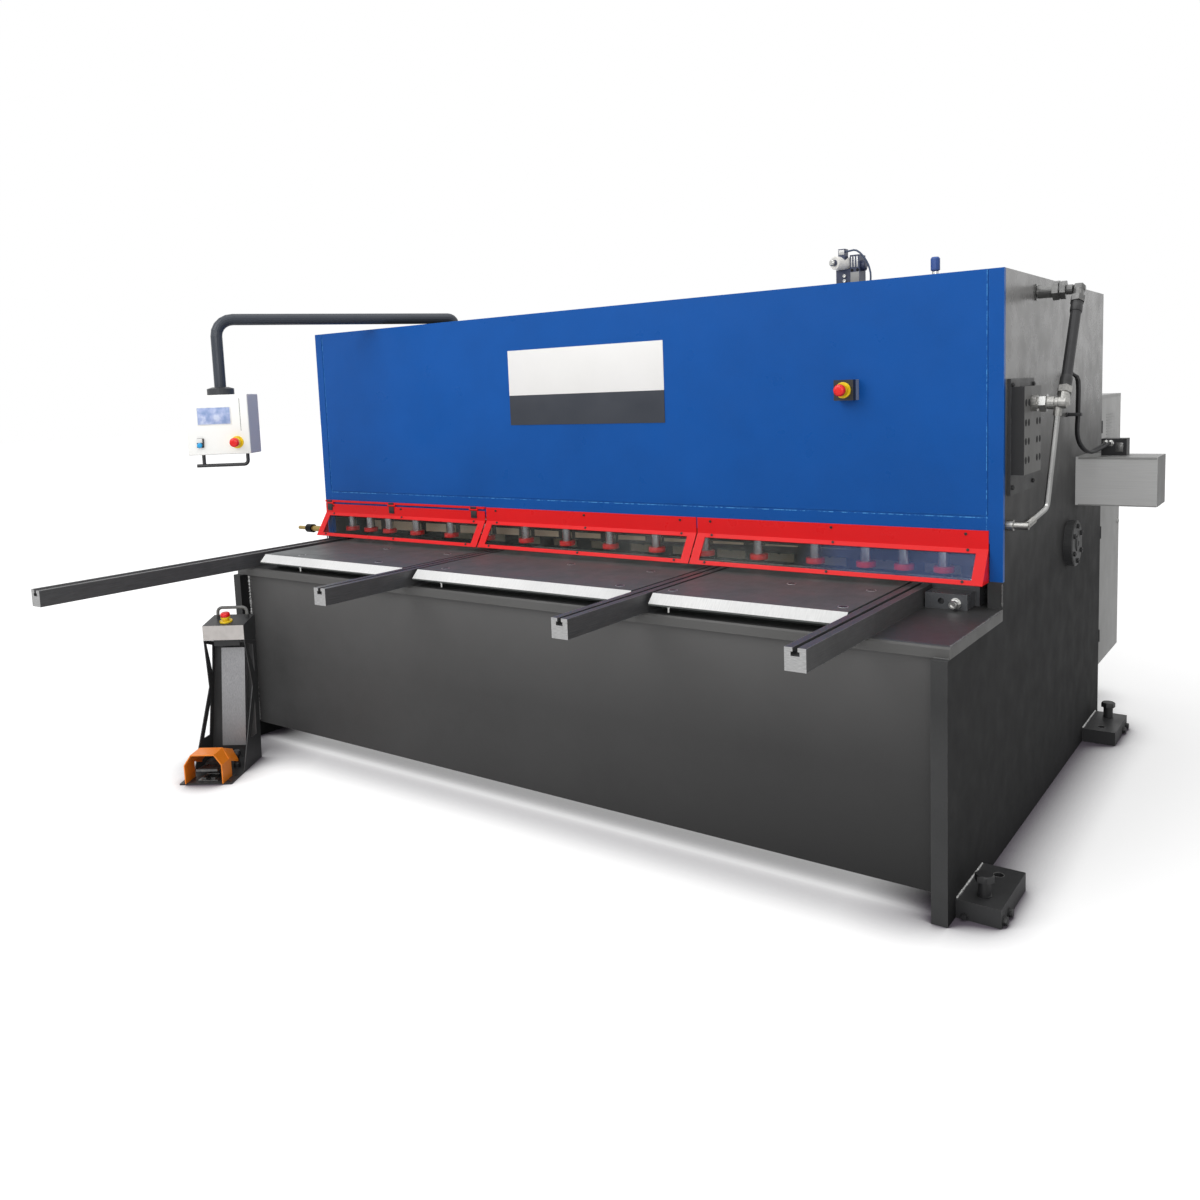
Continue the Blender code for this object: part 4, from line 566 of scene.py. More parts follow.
def add_sky():
    """White where the camera, glossy and transmission rays meet it, and dimmer as light."""
    world = bpy.data.worlds.new("white_sky")
    scene.world = world
    world.use_nodes = True
    tree = world.node_tree
    dim = tree.nodes["Background"]
    white = tree.nodes.new("ShaderNodeBackground")
    for background, strength in ((dim, SKY_LIGHT), (white, 1.0)):
        background.inputs["Color"].default_value = (1.0, 1.0, 1.0, 1.0)
        background.inputs["Strength"].default_value = strength
    path = tree.nodes.new("ShaderNodeLightPath")
    seen = path.outputs["Is Camera Ray"]
    for ray in ("Is Glossy Ray", "Is Transmission Ray"):
        either = tree.nodes.new("ShaderNodeMath")
        either.operation = "MAXIMUM"
        tree.links.new(seen, either.inputs[0])
        tree.links.new(path.outputs[ray], either.inputs[1])
        seen = either.outputs["Value"]
    choice = tree.nodes.new("ShaderNodeMixShader")
    tree.links.new(seen, choice.inputs["Fac"])
    tree.links.new(dim.outputs["Background"], choice.inputs[1])
    tree.links.new(white.outputs["Background"], choice.inputs[2])
    tree.links.new(choice.outputs["Shader"], tree.nodes["World Output"].inputs["Surface"])


def add_floor():
    """A pale floor that glows for the camera only, and is darker close to what stands on it."""
    mesh = bpy.data.meshes.new("floor")
    signs = ((-1, -1), (1, -1), (1, 1), (-1, 1))
    corners = [(x * FLOOR_REACH, y * FLOOR_REACH, 0) for x, y in signs]
    mesh.from_pydata(corners, [], [(0, 1, 2, 3)])
    floor = bpy.data.objects.new("floor", mesh)
    scene.collection.objects.link(floor)
    look = Look("pale_floor", 0.9)
    look.set("Specular IOR Level", 0.0)
    nearby = look.add("ShaderNodeAmbientOcclusion", samples=32)
    nearby.inputs["Distance"].default_value = CONTACT_REACH
    contact = look.grey(nearby.outputs["AO"], 0.0, 1.0, 0.5, 0.97)
    look.colour(look.mix(contact, (0.16, 0.14, 0.17), (0.8, 0.8, 0.8)))
    distance = look.add("ShaderNodeVectorMath", operation="LENGTH")
    look.link(look.coordinates, distance.inputs[0])
    strength = look.grey(distance.outputs["Value"], 0.45, 0.7, 3.0, 8.0)
    glow = look.add("ShaderNodeEmission")
    look.link(look.maths("MULTIPLY", strength, contact), glow.inputs["Strength"])
    plain = look.shader.outputs["BSDF"]
    both = look.add("ShaderNodeAddShader")
    look.link(plain, both.inputs[0])
    look.link(glow.outputs["Emission"], both.inputs[1])
    seen = look.add("ShaderNodeMixShader")
    look.link(look.add("ShaderNodeLightPath").outputs["Is Camera Ray"], seen.inputs["Fac"])
    look.link(plain, seen.inputs[1])
    look.link(both.outputs["Shader"], seen.inputs[2])
    look.link(seen.outputs["Shader"], look.tree.nodes["Material Output"].inputs["Surface"])
    mesh.materials.append(FINISHES["pale_floor"])


# Mesh helpers
def add_piece(name, bm, finish, body="machine", sharp=35.0):
    mesh = bpy.data.meshes.new(name)
    bmesh.ops.recalc_face_normals(bm, faces=bm.faces[:])
    bm.to_mesh(mesh)
    bm.free()
    mesh.shade_smooth()
    mesh.set_sharp_from_angle(angle=math.radians(sharp))
    mesh.materials.append(FINISHES[finish])
    piece = bpy.data.objects.new(name, mesh)
    scene.collection.objects.link(piece)
    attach(piece, body)


def seat(place, direction, turn=0.0):
    """A matrix that puts the origin on a place and turns +Z to the direction."""
    rotation = Vector(direction).to_track_quat("Z", "Y").to_matrix().to_4x4()
    return Matrix.Translation(place) @ rotation @ Matrix.Rotation(turn, 4, "Z")


def hex_reach(angle):
    """How much farther a hexagon reaches than the circle inside it, at an angle."""
    step = math.radians(60.0)
    return 1.0 / math.cos((angle % step) - step / 2)


def skin_into(bm, loops, capped=True):
    """Adds faces between loops of points; the two ends get caps, or else they are joined."""
    rows = [[bm.verts.new(point) for point in loop] for loop in loops]
    for low, high in zip(rows, rows[1:] if capped else rows[1:] + rows[:1]):
        for index in range(len(low)):
            following = (index + 1) % len(low)
            bm.faces.new((low[index], low[following], high[following], high[index]))
    if capped:
        bm.faces.new(rows[0])
        bm.faces.new(rows[-1])


def turn_into(bm, matrix, profile, segments=24, capped=True):
    """Adds a turned body; its profile holds (radius, height) or (radius, height, "hex") in mm."""
    loops = []
    for radius, height, *shape in profile:
        loop = []
        for index in range(segments):
            angle = 2 * math.pi * index / segments
            reach = radius * MM * (hex_reach(angle) if shape else 1.0)
            spot = Vector((reach * math.cos(angle), reach * math.sin(angle), height * MM))
            loop.append(matrix @ spot)
        loops.append(loop)
    skin_into(bm, loops, capped)


def block_into(bm, low, high, edge=0.001, matrix=None):
    """Adds a box with bevelled edges."""
    low, high = Vector(low), Vector(high)
    vertices = bmesh.ops.create_cube(bm, size=1.0)["verts"]
    for vertex in vertices:
        vertex.co = Vector(
            low[axis] + (vertex.co[axis] + 0.5) * (high[axis] - low[axis]) for axis in range(3)
        )
        if matrix:
            vertex.co = matrix @ vertex.co
    edges = list(dict.fromkeys(side for vertex in vertices for side in vertex.link_edges))
    bmesh.ops.bevel(bm, geom=edges, offset=edge, segments=2, profile=0.6, affect="EDGES")


def cap_screw(radius, height):
    """A cylinder head with a hexagon socket."""
    socket = radius * 0.5
    return [(radius * 0.92, 0.0), (radius, height * 0.1), (radius, height * 0.85),
            (radius * 0.88, height), (radius * 0.62, height), (socket, height, "hex"),
            (socket, height * 0.35, "hex"), (radius * 0.2, height * 0.3)]


def hex_bolt(radius, height):
    """A washer and a hexagon head with its chamfer."""
    washer, head = radius * 1.25, radius * 0.87
    return [(washer, 0.0), (washer, height * 0.16), (head, height * 0.17, "hex"),
            (head, height * 0.86, "hex"), (radius * 0.84, height), (radius * 0.3, height)]


def add_turned(name, profile, matrices, finish, body="machine", segments=24, capped=True):
    """One piece of turned bodies, one at each matrix."""
    bm = bmesh.new()
    for matrix in matrices:
        turn_into(bm, matrix, profile, segments, capped)
    add_piece(name, bm, finish, body)


def add_heads(name, profile, places, direction, finish, body="machine", segments=24, turn=0.3,
              capped=True):
    """One piece of turned bodies at places in machine coordinates, each turned a little further."""
    matrices = [seat(at(*place), direction, turn * number) for number, place in enumerate(places)]
    add_turned(name, profile, matrices, finish, body, segments, capped)


def add_rims(name, profile, places, finish):
    """Open rings that lie flat; the profile runs round their section."""
    add_heads(name, profile, places, UP, finish, segments=28, turn=0.0, capped=False)


def add_blocks(name, blocks, finish, body="machine", edge=0.001, matrix=None):
    """One piece of bevelled boxes, each given by two corners in machine axes or the matrix's."""
    bm = bmesh.new()
    for low, high in blocks:
        if matrix:
            block_into(bm, low, high, edge, matrix)
        else:
            block_into(bm, at(*low), at(*high), edge)
    add_piece(name, bm, finish, body)


def scatter(number):
    """A value from 0 to 1 that is always the same for a number, and unlike its neighbours'."""
    wave = math.sin(number * 12.9898) * 43758.5453
    return wave - math.floor(wave)


def add_bead(name, lines, radius, finish, seed):
    """Lumpy weld beads along straight lines; each line is (start, end) in machine coordinates."""
    angles = [math.pi * index / 4 for index in range(8)]
    bm = bmesh.new()
    for number, (start, end) in enumerate(lines):
        start, end = at(*start), at(*end)
        way = end - start
        steps = max(4, int(way.length / (radius * 0.8)))
        tangent = way.normalized()
        side = tangent.orthogonal().normalized()
        other = tangent.cross(side)
        loops = []
        for step in range(steps + 1):
            size = 0.5 + 0.75 * scatter(step + seed + number) + (0.15 if step % 2 else 0.0)
            size = radius * (0.3 if step in (0, steps) else size)
            centre = start + way * (step / steps)
            loops.append([centre + (side * math.cos(a) + other * math.sin(a)) * size
                          for a in angles])
        skin_into(bm, loops)
    add_piece(name, bm, finish, sharp=60.0)


# Sign plate, left bare
def add_sign():
    look = Look("sign_plate", 0.35)
    white = look.tones(look.noise(2.0), (0.8, 0.79, 0.77), (0.86, 0.85, 0.84))
    dark = look.tones(look.noise(3.0), (0.03, 0.036, 0.05), (0.042, 0.048, 0.062))
    look.colour(look.mix(look.above("Z", 1.697), dark, white))
    look.rough(look.grey(look.noise(12.0), 0.28, 0.4, 0.3, 0.7))
    look.bump(look.noise(500.0, 2.0), 0.08, 0.0002)
    plate = [((-0.425, -0.0022, 1.56), (0.43, -0.0002, 1.904))]
    add_blocks("sign_plate", plate, "sign_plate", edge=0.0006)


# Stop buttons: a yellow plate and a red mushroom head that the lift raises
def add_stop(name, place, direction, lift, body="machine"):
    plate = [(29.6, -0.5), (29.6, 5.8), (28.6, 6.8), (18, 7), (16.5, 8.5), (15, 8.5), (15, 18.4),
             (22.6, 18.8), (22.6, 19 + lift)]
    head = [(15, 18.5), (21.6, 20), (22.2, 23.5), (22.2, 30.5), (20.8, 34.5), (17, 37.5),
            (11, 38.8), (4, 39)]
    head = [(radius, height + lift) for radius, height in head]
    matrices = [seat(place, direction)]
    add_turned(name + "_plate", plate, matrices, "yellow_plastic", body, 32)
    add_turned(name + "_head", head, matrices, "red_plastic", body, 32)


def add_stops():
    add_stop("front_stop", at(1.245, -0.055, 1.671), FRONT, 9)
    slope = math.radians(9.07)
    tilted = Vector((0.0, -math.sin(slope), math.cos(slope)))
    add_stop("stand_stop", stand_at(-0.004, 0.198, 0.6723), STAND_ROTATION @ tilted, 8)
    add_stop("pendant_stop", pendant_at(0.0918, -0.075, 1.526), PENDANT_ROTATION @ FRONT, 18,
             "pendant_box_body")


# Guard: screws in three rows on each length, hinge leaves on the flap
GUARD_LEFT = -1.79
GUARD_RIGHT = 1.752
GUARD_JOINT = 0.006
GUARD_FOLD_Z = 1.1
GUARD_LEAN = Vector((0.0, 0.076, 0.118)).normalized()
GUARD_OUT = Vector((0.0, -0.118, 0.076)).normalized()
HINGE_X = (-1.7547, -1.2662, -0.6836)
HINGE_HALF = 0.019
LEAF_FRONT = -0.0128
LEAF_LOW = 1.111
GUARD_SCREW_ROWS = (0.007, 0.1295)


def guard_sections():
    length = (GUARD_RIGHT - GUARD_LEFT - 2 * GUARD_JOINT) / 3
    for index, label in enumerate(("left", "centre", "right")):
        start = GUARD_LEFT + index * (length + GUARD_JOINT)
        yield label, start, start + length


def add_guard_screws():
    for label, start, end in guard_sections():
        is_flap = label == "left"
        face, upper_z = (-0.0095, 1.136) if is_flap else (-0.0043, 1.151)
        matrices = []
        for x in (start + 0.062, (start + end) / 2 + 0.004, end - 0.078):
            matrices.append(seat(at(x, face, upper_z), FRONT, x))
            for down in GUARD_SCREW_ROWS:
                place = at(x + 0.008, face, GUARD_FOLD_Z) - GUARD_LEAN * down
                matrices.append(seat(place, GUARD_OUT, x))
        add_turned("guard_screws_" + label, cap_screw(5.2, 3.4), matrices, "black_paint",
                   "guard_flap" if is_flap else "machine")


def add_hinge_leaves():
    leaves = bmesh.new()
    screw = cap_screw(4, 2)
    strip = []
    for x in HINGE_X:
        left, right = x - HINGE_HALF, x + HINGE_HALF
        block_into(leaves, at(left, LEAF_FRONT, LEAF_LOW), at(right, -0.0093, 1.1462), 0.0008)
        for screw_x in (left + 0.009, right - 0.009):
            place = at(screw_x, LEAF_FRONT, LEAF_LOW + 0.012)
            turn_into(leaves, seat(place, FRONT), screw, 16)
        strip.append(((left, -0.0152, 1.1572), (right, -0.0118, 1.1669)))
    add_piece("hinge_leaves_flap", leaves, "black_plastic", "guard_flap")
    add_blocks("hinge_leaves_strip", strip, "black_plastic")


# Hold-downs: red rings round the feet, dark collars above
PLUNGER_X = (-1.71, -1.56, -1.41, -1.2, -0.95, -0.699, -0.449, -0.198,
             0.052, 0.303, 0.553, 0.804, 1.054, 1.264, 1.414, 1.564)
PLUNGER_Y = 0.1


def add_plunger_rings():
    rings = [(23.5, 989.6), (36, 989.2), (37.5, 990.5), (37.5, 1008), (35.5, 1011), (23.6, 1012)]
    collars = [(23.2, 1070), (28.5, 1070.5), (28.5, 1082), (25.5, 1083.5), (25.5, 1090),
               (23.2, 1090.5)]
    matrices = [Matrix.Translation(at(x, PLUNGER_Y, 0.0)) for x in PLUNGER_X]
    add_turned("plunger_rings", rings, matrices, "red_paint", "hold_downs", 28)
    add_turned("plunger_collars", collars, matrices, "black_paint", "hold_downs", 28)


def add_blade_bolts():
    """Bolt heads let into the front of the upper blade, near-black with the painted shade of their
    recesses.
    """
    head = [(13, 0), (13, 0.6), (11, 1.2), (6, 1.2, "hex"), (5.6, 0.4, "hex"), (2, 0.3)]
    places = [(-1.56 + 0.26 * index, 0.175, 1.058) for index in range(13)]
    add_heads("blade_bolts", head, places, FRONT, "painted_hole_shade", "beam")


# Table: countersunk screws, levelling screws under the bevels, the end block's bolt
TABLE_SCREWS = ((-1.12, -0.189), (-0.838, -0.497), (-0.412, -0.495), (0.042, -0.185),
                (0.519, -0.499), (0.754, -0.493), (-1.372, -0.51), (1.091, -0.196), (1.419, -0.494),
                (-0.7, -0.19), (0.46, -0.192), (1.4, -0.196))


def add_table_screws():
    head = [(15, 0.1), (15, 0.9), (13.8, 1.3), (7.8, 1.3), (6.6, 1.3, "hex"), (6.4, 0.7, "hex"),
            (1.5, 0.7)]
    rim = [(15.2, 0), (18.2, 0), (18, 0.6), (15.4, 0.6)]
    places = [(x, y, TABLE_TOP) for x, y in TABLE_SCREWS]
    add_rims("table_screw_rims", rim, places, "weld_steel")
    add_heads("table_screws", head, places, UP, "black_paint", segments=30)
    pin = [(3.8, 0), (4.4, 2), (4.4, 16), (6.6, 16.5, "hex"), (6.6, 20, "hex")]
    pins = [(x, -0.5935, 0.8998) for x in (-1.283, -0.342, 0.797)]
    add_heads("levelling_screws", pin, pins, UP, "screw_steel")


def add_end_bolt():
    """A washer, a nut, a neck and a socket head in the end block's front."""
    bolt = [(19, 0), (19.5, 0.8), (19.5, 3), (18.5, 3.8), (15, 3.8, "hex"), (15, 13.5, "hex"),
            (13.5, 15), (9, 15), (9, 23), (14, 23.2), (14.5, 24), (14.5, 36.5), (13.5, 38), (9, 38),
            (7, 38, "hex"), (6.8, 30, "hex"), (2, 29.5)]
    add_heads("end_block_bolt", bolt, [(1.66, -0.075, 0.913)], FRONT, "screw_steel", segments=36)


# Feet: weld beads, screws in the outer side, anchor holes and jack bolts
SIDES = ((-1, "left"), (1, "right"))
FOOT_TOP = 0.062
FOOT_MIDDLE = 1.87
FOOT_SPANS = ((-0.535, -0.24), (1.36, 1.66))
ANCHOR_Y = (-0.302, 1.422)
JACK_Y = (-0.465, 1.59)
JACK_TOP = 0.134


def add_foot_details():
    rim = [(16.2, 0), (18, 0.2), (17.8, 0.8), (16.4, 0.9)]
    hole = [(14.8, -1), (14.8, 1), (13, 1.2)]
    sleeve = [(20.5, 0.2), (20.5, 48), (19, 49.5)]
    head = [(27.2, -22.2, "hex"), (27.2, -3, "hex"), (26.2, 0.6), (14, 0.8)]
    nut = [(22.5, 0), (22.8, 1), (22.8, 4), (18, 6)]
    side_screw, stub = hex_bolt(14, 13), hex_bolt(9.5, 14)
    for side, label in SIDES:
        wall = side * (HALF_WIDTH + 0.0012)
        beads = [((wall, low + 0.006, FOOT_TOP + 0.001), (wall, high - 0.004, FOOT_TOP + 0.001))
                 for low, high in FOOT_SPANS]
        add_bead("foot_welds_" + label, beads, 0.0048, "weld_steel", 3)
        screws = [(side * 1.94, y, 0.018) for y in (-0.508, -0.448, 1.632, 1.56)]
        add_heads("foot_side_screws_" + label, side_screw, screws, RIGHT * side, "black_paint")
        place = (side * 1.828, -0.535, 0.013)
        add_heads("foot_stub_" + label, stub, [place], FRONT, "black_paint")
        middle = side * FOOT_MIDDLE
        rims = [(middle, y, FOOT_TOP) for y in ANCHOR_Y]
        add_rims("foot_hole_rims_" + label, rim, rims, "weld_paint")
        # Painted shade: a near-black disc sunk into each anchor hole
        deep = [(middle, y, FOOT_TOP - 0.012) for y in ANCHOR_Y]
        add_heads("foot_holes_" + label, hole, deep, UP, "painted_hole_shade")
        jacks = [(middle, y, FOOT_TOP) for y in JACK_Y]
        add_heads("jack_sleeves_" + label, sleeve, jacks, UP, "black_paint", segments=32)
        caps = [(middle, y, JACK_TOP) for y in JACK_Y]
        add_heads("jack_heads_" + label, head, caps, UP, "black_paint", turn=0.4)
        add_heads("jack_nuts_" + label, nut, jacks, UP, "black_paint")


def add_frame_welds():
    """Beads where the apron, the ledge and the front plate meet the side plates."""
    for name, x, y, radius, finish, seed in (
            ("apron_weld_left", -1.745, -0.562, 0.0068, "weld_steel", 5),
            ("apron_weld_right", 1.7475, -0.5615, 0.0042, "weld_paint", 7)):
        add_bead(name, [((x, y, 0.085), (x, y, 0.845))], radius, finish, seed)
    outer = (1.7995, -1.7995)
    ledge = [((x, -0.58, 0.8885), (x, -0.01, 0.8885)) for x in outer]
    for low, high in ((1.7485, 1.799), (-1.799, -1.7485)):
        ledge.append(((low, -0.5865, 0.8495), (high, -0.5865, 0.8495)))
    add_bead("ledge_welds", ledge, 0.003, "weld_paint", 9)
    seam = [((x, -0.008, 0.9), (x, -0.008, 0.98)) for x in outer]
    add_bead("seam_welds", seam, 0.003, "weld_paint", 11)


def add_back_gauge():
    """A stop bar hung behind the beam, seen through the panes."""
    bar = [((-1.52, 0.6, 0.872), (1.52, 0.68, 0.992))]
    for x in (-1.2, 0.0, 1.2):
        bar.append(((x - 0.025, 0.402, 1.13), (x + 0.025, 0.69, 1.19)))
        bar.append(((x - 0.022, 0.615, 0.985), (x + 0.022, 0.665, 1.135)))
    add_blocks("back_gauge", bar, "dark_paint", "beam", 0.003)
    starts = [-1.43 + HOLD_PITCH * index for index in range(12)]
    plates = [((x, 0.594, 0.89), (x + 0.15, 0.6005, 0.975)) for x in starts]
    add_blocks("back_gauge_plates", plates, "beige_paint", "beam", 0.0015)
    hole = [(11, 0), (11, 0.6), (9.5, 0.8)]
    holes = [(x + 0.075, 0.594, 0.935) for x in starts]
    add_heads("back_gauge_holes", hole, holes, FRONT, "painted_hole_shade", "beam")


# Right side: manifold, pivot discs, pipe and cable fittings, side box, cabinet
PIVOT_Y = 1.025
PIVOT_Z = 0.98
PIVOT_FACE = 1.8363
PIVOT_RING = 0.074
MANIFOLD_FACE = 1.857
MANIFOLD_PLATE = 1.8123
PORT = Vector((1.949, 0.427, 2.004))
TEE = Vector((1.957, 0.15, 1.602))


def add_manifold_details():
    holes = [(MANIFOLD_FACE, y, z)
             for z in (1.537, 1.472, 1.407) for y in (0.066, 0.106, 0.222, 0.262)]
    holes += [(MANIFOLD_FACE, y, 1.606) for y in (0.068, 0.108)]
    hole = [(12.5, -0.2), (12.5, 0.3), (11.5, 0.5)]
    add_heads("manifold_holes", hole, holes, RIGHT, "painted_hole_shade")
    corners = ((0.062, 1.312), (0.345, 1.312), (0.345, 1.668), (0.062, 1.668))
    screws = [(MANIFOLD_PLATE, y, z) for y, z in corners]
    add_heads("manifold_plate_screws", cap_screw(8.5, 7.5), screws, RIGHT, "black_paint")


def add_pivot_details():
    cap = [(34, 0), (34, 3), (30, 5), (12, 5), (10.5, 2)]
    angles = [math.radians(30.0 + 60.0 * index) for index in range(6)]
    for side, label in SIDES:
        face, outward = side * PIVOT_FACE, RIGHT * side
        ring = [(face, PIVOT_Y + PIVOT_RING * math.cos(a), PIVOT_Z + PIVOT_RING * math.sin(a))
                for a in angles]
        add_heads("pivot_screws_" + label, cap_screw(10.5, 8.5), ring, outward, "black_paint")
        centre = [(face, PIVOT_Y, PIVOT_Z)]
        add_heads("pivot_cap_" + label, cap, centre, outward, "dark_paint", segments=40)


def add_pipe_fittings():
    """Nuts on the port and the tee, and sleeves on both ends of the hose between them."""
    barrel = [(18, 0), (24.5, 0.6), (24.5, 53), (18, 53.6)]
    nut = [(18, 0), (33, 0, "hex"), (33, 21, "hex"), (30, 23), (30, 25), (31, 26, "hex"),
           (31, 44, "hex"), (18, 46)]
    port_parts = bmesh.new()
    turn_into(port_parts, seat(at(1.808, PORT.y, PORT.z), RIGHT), barrel, 32)
    turn_into(port_parts, seat(at(1.863, PORT.y, PORT.z), RIGHT, 0.3), nut, 32)
    add_piece("port_nuts", port_parts, "gun_steel")
    tee_nut = [(18, 0), (29, 0, "hex"), (29, 22, "hex"), (26.5, 24), (18, 24.5)]
    add_turned("tee_nut", tee_nut, [seat(at(1.884, TEE.y, TEE.z), RIGHT, 0.2)], "zinc", segments=32)
    ring = [(18, 0), (28.5, 0.4), (28.5, 14), (24, 17), (18, 17.5)]
    place = seat(at(1.8575, TEE.y, TEE.z), RIGHT)
    add_turned("tee_ring", ring, [place], "black_paint", segments=32)
    sleeve = [(18.2, 0), (20.5, 1), (20.8, 8), (20, 11), (20.8, 14), (20.8, 38), (19.6, 42),
              (18.2, 42.4)]
    way = (TEE - PORT).normalized()
    ends = [seat(at(*(PORT + way * 0.063)), way), seat(at(*(TEE - way * 0.063)), -way)]
    add_turned("hose_sleeves", sleeve, ends, "black_paint", segments=28)


def add_cable_fittings():
    """The cables' clip, glands and exits, and the lips and latch of the side box."""
    clip = [((1.8003, 0.9665, 1.5225), (1.857, 1.0035, 1.5365)),
            ((1.8003, 0.95, 1.52), (1.805, 1.02, 1.539))]
    add_blocks("cable_clip", clip, "black_plastic", edge=0.002)
    gland = [(13.5, 0, "hex"), (13.5, 7, "hex"), (11.5, 8.5), (10.5, 15), (8, 17)]
    glands = [(x, 1.2347, 1.3938) for x in (1.922, 1.904)]
    add_heads("cable_glands", gland, glands, FRONT, "screw_steel")
    exit_ring = [(15, 0), (15, 3.5), (12, 6), (8.5, 8.5)]
    exits = [(1.8002, y, 1.701) for y in (0.976, 0.994)]
    add_heads("cable_exits", exit_ring, exits, RIGHT, "black_plastic")
    heights = ((1.33, 1.3385), (1.1295, 1.1345))
    lips = [((1.812, 1.1478, low), (2.115, 1.1502, high)) for low, high in heights]
    add_blocks("side_box_lip", lips, "grey_paint", edge=0.0006)
    latch = [((1.942, 1.2325, 1.356), (1.972, 1.2352, 1.396)),
             ((1.948, 1.231, 1.37), (1.966, 1.233, 1.386))]
    add_blocks("connector_latch", latch, "gun_steel", edge=0.0008)


def add_cabinet_details():
    door = [((1.7942, 1.734, 0.285), (1.7965, 2.236, 1.575))]
    add_blocks("cabinet_door", door, "grey_paint", edge=0.001)
    lock = [(16, 0), (16, 4), (13.5, 6), (6, 6, "hex"), (5.8, 3, "hex"), (2, 3)]
    add_heads("cabinet_lock", lock, [(1.7965, 2.196, 0.93)], RIGHT, "screw_steel")
    hinge = [(4, 0), (4.6, 0.6), (4.6, 59.4), (4, 60)]
    hinges = [Matrix.Translation(at(1.7985, 1.7315, z - 0.03)) for z in (0.42, 0.93, 1.44)]
    add_turned("cabinet_hinges", hinge, hinges, "black_paint", segments=20)
    rows = [1.38 + 0.014 * row for row in range(9)]
    slats = [((1.7963, 1.86, z), (1.7982, 2.08, z + 0.005)) for z in rows]
    add_blocks("cabinet_vents", slats, "grey_paint", edge=0.0008)


# Pendant: door and its gap, screen, switch with its lamp
def add_pendant_details():
    body = "pendant_box_body"
    fronts = (
        ("door", "door_white", 0.0006,
         (-0.1495, -0.0762, 1.4725), (0.1495, -0.0748, 1.7515)),
        ("door_gap", "black_plastic", 0.0002,
         (0.112, -0.0767, 1.58), (0.114, -0.076, 1.735)),
        ("screen_frame", "white_plastic", 0.0015,
         (-0.096, -0.0786, 1.6125), (0.069, -0.074, 1.6985)),
        ("screen", "screen", 0.0003,
         (-0.0925, -0.0793, 1.616), (0.0655, -0.078, 1.695)),
        ("switch_body", "black_plastic", 0.002,
         (-0.1035, -0.085, 1.505), (-0.0705, -0.0745, 1.55)),
        ("switch_key", "white_plastic", 0.0015,
         (-0.103, -0.088, 1.529), (-0.075, -0.083, 1.549)),
    )
    for label, finish, edge, low, high in fronts:
        add_blocks("pendant_" + label, [(low, high)], finish, body, edge, PENDANT_MATRIX)
    lamp = [(12.5, -0.2), (12.8, 2), (12.5, 4.5), (10.5, 6.5), (5, 7.8)]
    place = seat(pendant_at(-0.089, -0.0845, 1.5165), PENDANT_ROTATION @ FRONT)
    add_turned("pendant_switch_lamp", lamp, [place], "blue_plastic", body, 28)


# Stand: pedal ribs and base, cable gland, link plate, screws
def add_stand_details():
    ribs = []
    for index in range(7):
        y = -0.134 + 0.0105 * index
        height = 0.0645 - (y + 0.134) * 0.132
        ribs.append(((-0.044, y, height - 0.0035), (0.044, y + 0.0042, height + 0.0012)))
    add_blocks("pedal_ribs", ribs, "black_plastic", "pedal_body", 0.0006, STAND_MATRIX)
    base = [((-0.046, -0.136, 0.0063), (0.046, -0.02, 0.012)),
            ((-0.03, -0.126, 0.0115), (-0.012, -0.04, 0.02)),
            ((0.012, -0.126, 0.0115), (0.03, -0.04, 0.02)),
            ((-0.03, -0.08, 0.019), (0.03, -0.068, 0.024))]
    add_blocks("pedal_base", base, "gun_steel", edge=0.0012, matrix=STAND_MATRIX)
    gland = [(16, 0), (16, 18), (12, 22), (12, 50), (19, 54), (21, 60), (21, 70), (17, 77), (6, 79)]
    place = seat(stand_at(0.06, 0.05, STAND_BASE), UP)
    add_turned("stand_cable_gland", gland, [place], "black_plastic", segments=28)
    link = [((-0.06, 0.17, 0.56), (0.066, 0.176, 0.625))]
    add_blocks("stand_link", link, "dark_paint", matrix=STAND_MATRIX)
    base_screw, column_screw = cap_screw(6.5, 4.5), cap_screw(5, 3.5)
    screws = bmesh.new()
    for x in (-0.1, 0.1):
        for y in (-0.145, -0.06):
            turn_into(screws, seat(stand_at(x, y, STAND_BASE), UP, x), base_screw, 20)
    forward = STAND_ROTATION @ Vector((0.0, -1.0, 0.05))
    for x in (-0.04, 0.053):
        for z in (0.11, 0.57):
            place = stand_at(x, 0.15 + (z - 0.003) * COLUMN_LEAN, z)
            turn_into(screws, seat(place, forward, x), column_screw, 20)
    add_piece("stand_screws", screws, "black_paint")


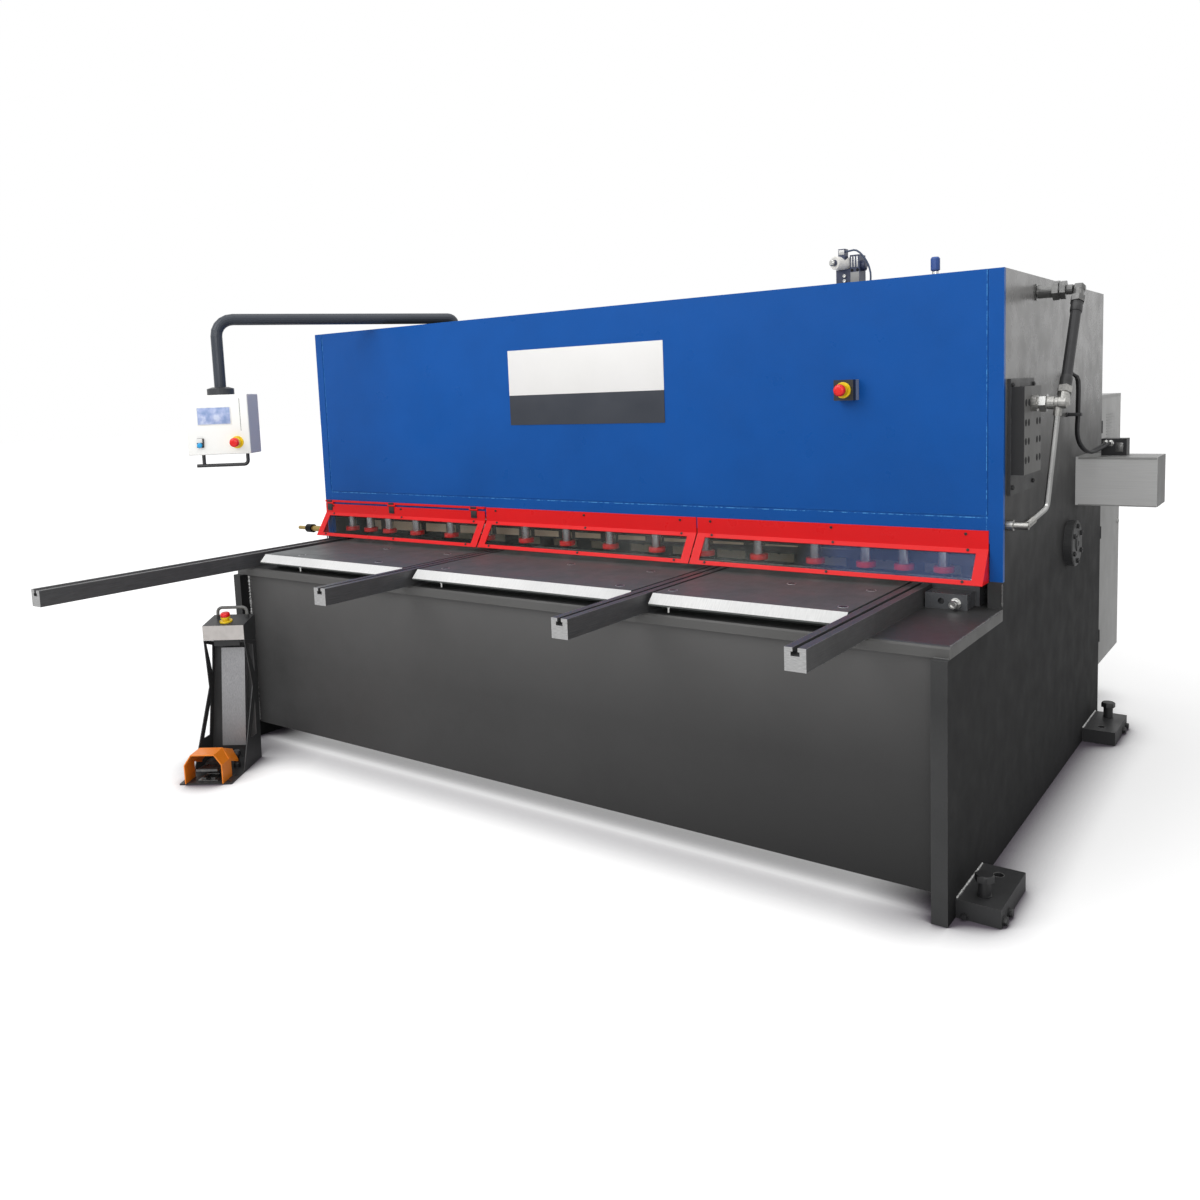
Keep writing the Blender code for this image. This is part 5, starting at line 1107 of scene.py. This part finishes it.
# Top: pendant foot bolts, valve with its coil, breather neck
def add_top_details():
    angles = [math.radians(45.0 + 90.0 * index) for index in range(4)]
    bolts = [(-1.12 + 0.047 * math.cos(a), 0.376 + 0.047 * math.sin(a), 2.0683) for a in angles]
    add_heads("pendant_foot_bolts", cap_screw(5.5, 5), bolts, UP, "black_paint")
    screws = [(1.204, 0.0695, TOP_PLATE + rise) for rise in (0.036, 0.018)]
    add_heads("valve_screws", cap_screw(6.5, 5.5), screws, FRONT, "screw_steel")
    port = [(5.5, 0), (5.5, 0.8), (4, 1)]
    ports = [(x, 0.0692, TOP_PLATE + 0.055) for x in (1.2335, 1.2545)]
    add_heads("valve_ports", port, ports, FRONT, "painted_hole_shade")
    stripes = [((x, 0.0684, TOP_PLATE + 0.066), (x + 0.0055, 0.07, TOP_PLATE + 0.105))
               for x in (1.229, 1.24, 1.251)]
    add_blocks("valve_stripes", stripes, "weld_steel", edge=0.0004)
    face = [((1.2268, 0.0688, TOP_PLATE + 0.001), (1.2608, 0.07, TOP_PLATE + 0.048))]
    add_blocks("valve_face", face, "grey_paint", edge=0.0004)
    label = [((1.192, 0.0432, TOP_PLATE + 0.112), (1.214, 0.044, TOP_PLATE + 0.13))]
    add_blocks("coil_label_frame", label, "weld_steel", edge=0.0003)
    turn = math.radians(-20.0)
    axis = Vector((math.sin(turn), -math.cos(turn), 0.0))
    coil = (1.183, 0.028, TOP_PLATE + 0.061 + 0.95 * 0.0235)
    nut = [(10, -1), (11.5, 0), (11.5, 6), (8.5, 9), (4, 9)]
    place = seat(at(*(Vector(coil) + axis * 0.012)), axis)
    add_turned("valve_coil_nut", nut, [place], "screw_steel", segments=28)
    sleeve = [(23.6, 0), (24.3, 0.6), (24.3, 64), (23.6, 65.2), (18.5, 65.2), (18, 64.1)]
    place = seat(at(*coil) - axis * 0.064, axis)
    add_turned("valve_coil_sleeve", sleeve, [place], "cream_plastic", segments=32)
    neck = [(15, 0, "hex"), (15, 7, "hex"), (11.8, 7.8), (11.8, 22.5), (11.2, 23.2)]
    add_turned("breather_neck", neck, [seat(at(1.535, 0.1, TOP_PLATE), UP)], "screw_steel")


add_camera()
add_lamps()
add_sky()
add_floor()
scene.view_settings.view_transform = "Standard"
add_sign()
add_stops()
add_guard_screws()
add_hinge_leaves()
add_plunger_rings()
add_blade_bolts()
add_table_screws()
add_end_bolt()
add_foot_details()
add_frame_welds()
add_back_gauge()
add_manifold_details()
add_pivot_details()
add_pipe_fittings()
add_cable_fittings()
add_cabinet_details()
add_pendant_details()
add_stand_details()
add_top_details()
